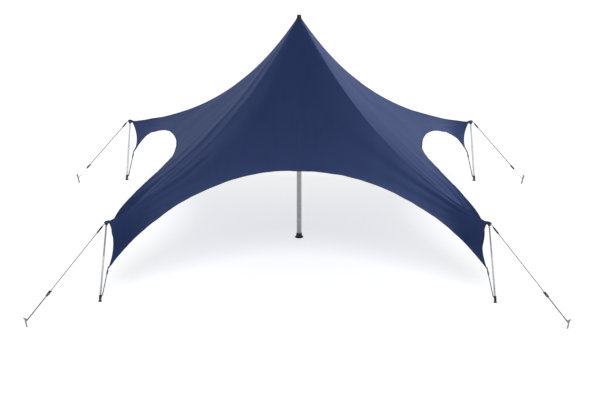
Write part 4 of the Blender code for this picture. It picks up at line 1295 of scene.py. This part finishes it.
for tag, sx, sy in corners:
    foot, head, bottom, top, rise = legLine(sx, sy)
    tailPoint, anchor, down, pull = tailLine(sx, sy)
    eye, hook, base, away, lean, run = guyLine(sx, sy)
    across = down.cross(pull).normalized()
    flat = run.cross(up).normalized()
    square = flat.cross(run).normalized()
    name = tag.replace("_", " ").title().replace(" ", "")
    makeLeg(name, tag, bottom, top, rise)
    makeFoot(name, tag, foot, bottom, top, rise, anchor, down, pull, across)
    makeHead(name, tag, head, rise, Vector((sx * tip[0], sy * tip[1], tip[2])), eye, run, flat, square)
    makeTailTie(name, tag, tailPoint, anchor, down, pull, across)
    makeGuy(name, tag, guy["frontMarks"] if sy < 0 else guy["backMarks"], eye, hook, run, flat, square)
    makeStake(name, tag, base, hook, away, lean, run, flat, square)
print("corners made")


# mast: base, tubes, sleeve, crown and cap
mast = {"radius": 0.0575, "split": 2.92, "top": 4.86, "sleeveHalf": 0.13, "crownTop": 5.48}
mr = mast["radius"]
still = Matrix.Identity(4)
shape = blankShape()
addTurned(shape, [(0, 0), (0.101, 0), (0.105, 0.003), (0.105, 0.009), (0.102, 0.0125), (0.097, 0.014),
                  (mr + 0.0145, 0.014), (mr + 0.0105, 0.017), (mr + 0.0088, 0.023), (mr + 0.0085, 0.100),
                  (mr + 0.0100, 0.102), (mr + 0.0100, 0.112), (mr + 0.0085, 0.115), (mr + 0.0010, 0.115),
                  (mr + 0.0004, 0.110), (mr + 0.0004, 0.014), (0, 0.014)], still, 0, 64)
makePiece("mastBase", shape, [nylon], ["mast_base"])
keepPiece(growTree(ribTree, "baseGussets", [], {
    "Count": 12, "Ring radius": mr + 0.0115, "Rib size": (0.008, 0.005, 0.070), "Material": nylon},
    Matrix.Translation((0, 0, 0.050))))
keepPiece(growTree(screwTree, "baseScrews", [], {
    "Count": 6, "Ring radius": 0.086, "Head radius": 0.0065, "Head height": 0.005, "Sides": 6, "Seed": 2,
    "Material": zinc}, Matrix.Translation((0, 0, 0.0160))))

shape = blankShape()
addTurned(shape, [(0, 0.0145), (mr - 0.001, 0.0145), (mr, 0.0155), (mr, mast["split"] - 0.0005),
                  (0, mast["split"] - 0.0005)], still, 0, 64)
makePiece("mastLower", shape, [mastMetalPaintedShade], ["mast_lower"])
shape = blankShape()
addTurned(shape, [(0, mast["split"] + 0.0005), (mr, mast["split"] + 0.0005), (mr, mast["top"] - 0.001),
                  (mr - 0.001, mast["top"]),
                  (0, mast["top"])], still, 0, 64)
makePiece("mastUpper", shape, [mastMetalPaintedShade], ["mast_upper"])

shape = blankShape()
s0, s1 = mast["split"] - mast["sleeveHalf"], mast["split"] + mast["sleeveHalf"]
addTurned(shape, [(mr + 0.0003, s0), (mr + 0.0035, s0), (mr + 0.0055, s0 + 0.003), (mr + 0.0055, s0 + 0.010),
                  (mr + 0.0045, s0 + 0.013), (mr + 0.0045, mast["split"] - 0.005), (mr + 0.0036, mast["split"]),
                  (mr + 0.0045, mast["split"] + 0.005), (mr + 0.0045, s1 - 0.013), (mr + 0.0055, s1 - 0.010),
                  (mr + 0.0055, s1 - 0.003), (mr + 0.0035, s1), (mr + 0.0003, s1)], still, 0, 64)
makePiece("mastSleeve", shape, [zinc], ["mast_joint_sleeve"])

shape = blankShape()
z0 = mast["top"] + 0.0005
addTurned(shape, [(0, z0), (mr - 0.001, z0), (mr, z0 + 0.001), (mr, z0 + 0.050), (mr - 0.004, z0 + 0.070),
                  (0.040, z0 + 0.140), (0.032, z0 + 0.200), (0.027, z0 + 0.280), (0.026, z0 + 0.340),
                  (0.026, mast["crownTop"]), (0, mast["crownTop"])], still, 0, 48)
makePiece("mastCrown", shape, [zinc], ["mast_crown"])

shape = blankShape()
capZ = canopy["apexZ"]
addTurned(shape, [(0, capZ - 0.0195), (0.028, capZ - 0.0195), (0.028, capZ + 0.0005),
                  (0.0530, capZ + 0.0005), (0.0545, capZ + 0.003),
                  (0.0545, capZ + 0.010), (0.0500, capZ + 0.012), (0.0490, capZ + 0.054), (0.0510, capZ + 0.056),
                  (0.0510, capZ + 0.064), (0.0480, capZ + 0.069), (0.0300, capZ + 0.072),
                  (0.012, capZ + 0.0745), (0, capZ + 0.0745)],
          still, 0, 64)
makePiece("apexCap", shape, [nylon], ["apex_cap"])
keepPiece(growTree(ribTree, "capGrip", [], {
    "Count": 40, "Ring radius": 0.0492, "Rib size": (0.0040, 0.0040, 0.042), "Material": nylon},
    Matrix.Translation((0, 0, capZ + 0.033))))

# webbing collar that binds the cloth's neck below the cap
shape = blankShape()
stations = []
for column in range(0, aroundCount, 8):
    points, normals = outer[:, column], outerNormal[:, column]
    stations.append([walkAlong(points, normals, far) for far in (0.004, 0.006, 0.020, 0.034, 0.036)])
bandOnCloth(shape, stations + [stations[0]], 0.0022)
collar = makePiece("neckCollar", shape, [blackWebbing], sharp=50)
print("mast made")


# floor and light
bpy.ops.mesh.primitive_plane_add(size=500.0, location=(0, 0, -0.0005))
floor = bpy.context.object
floor.name = "floor"
floor.data.materials.append(makeFloor())

world = bpy.data.worlds.new("softSky")
scene.world = world
world.use_nodes = True
# white to look at, and much weaker as a light, so that the folds in the cloth keep their shading
sky = world.node_tree.nodes["Background"]
sky.inputs["Color"].default_value = linear("#ffffff")
rays = addNode(world.node_tree, "ShaderNodeLightPath")
skyStrength = addNode(world.node_tree, "ShaderNodeMapRange", values={"To Min": 0.25, "To Max": 1.0},
                      links={"Value": rays.outputs["Is Camera Ray"]})
world.node_tree.links.new(skyStrength.outputs["Result"], sky.inputs["Strength"])


# the tent's lights leave the floor alone and the floor has its own, so that no long shadows lie across it
def linkGroup(name, state):
    group = bpy.data.collections.new(name)
    group.objects.link(floor)
    group.collection_objects[0].light_linking.link_state = state
    return group


floorOnly, allButFloor = linkGroup("floorOnly", "INCLUDE"), linkGroup("allButFloor", "EXCLUDE")


def addSun(name, turn, height, strength, softness, lights):
    # turn: where the light comes from, in degrees from +x towards +y
    data = bpy.data.lights.new(name, "SUN")
    data.energy = strength
    data.angle = math.radians(softness)
    sun = bpy.data.objects.new(name, data)
    turn, height = math.radians(turn), math.radians(height)
    comesFrom = Vector((math.cos(turn) * math.cos(height), math.sin(turn) * math.cos(height), math.sin(height)))
    sun.rotation_euler = comesFrom.to_track_quat("Z", "Y").to_euler()
    scene.collection.objects.link(sun)
    sun.light_linking.receiver_collection = lights
    return sun


addSun("keyFromRight", 24, 20, 3.20, 40, allButFloor)
addSun("fillFromLeft", 156, 26, 1.60, 40, allButFloor)
addSun("softFromAbove", 270, 72, 0.80, 50, allButFloor)
addSun("floorLight", 270, 47, 0.90, 26, floorOnly)
scene.view_settings.view_transform = "Standard"
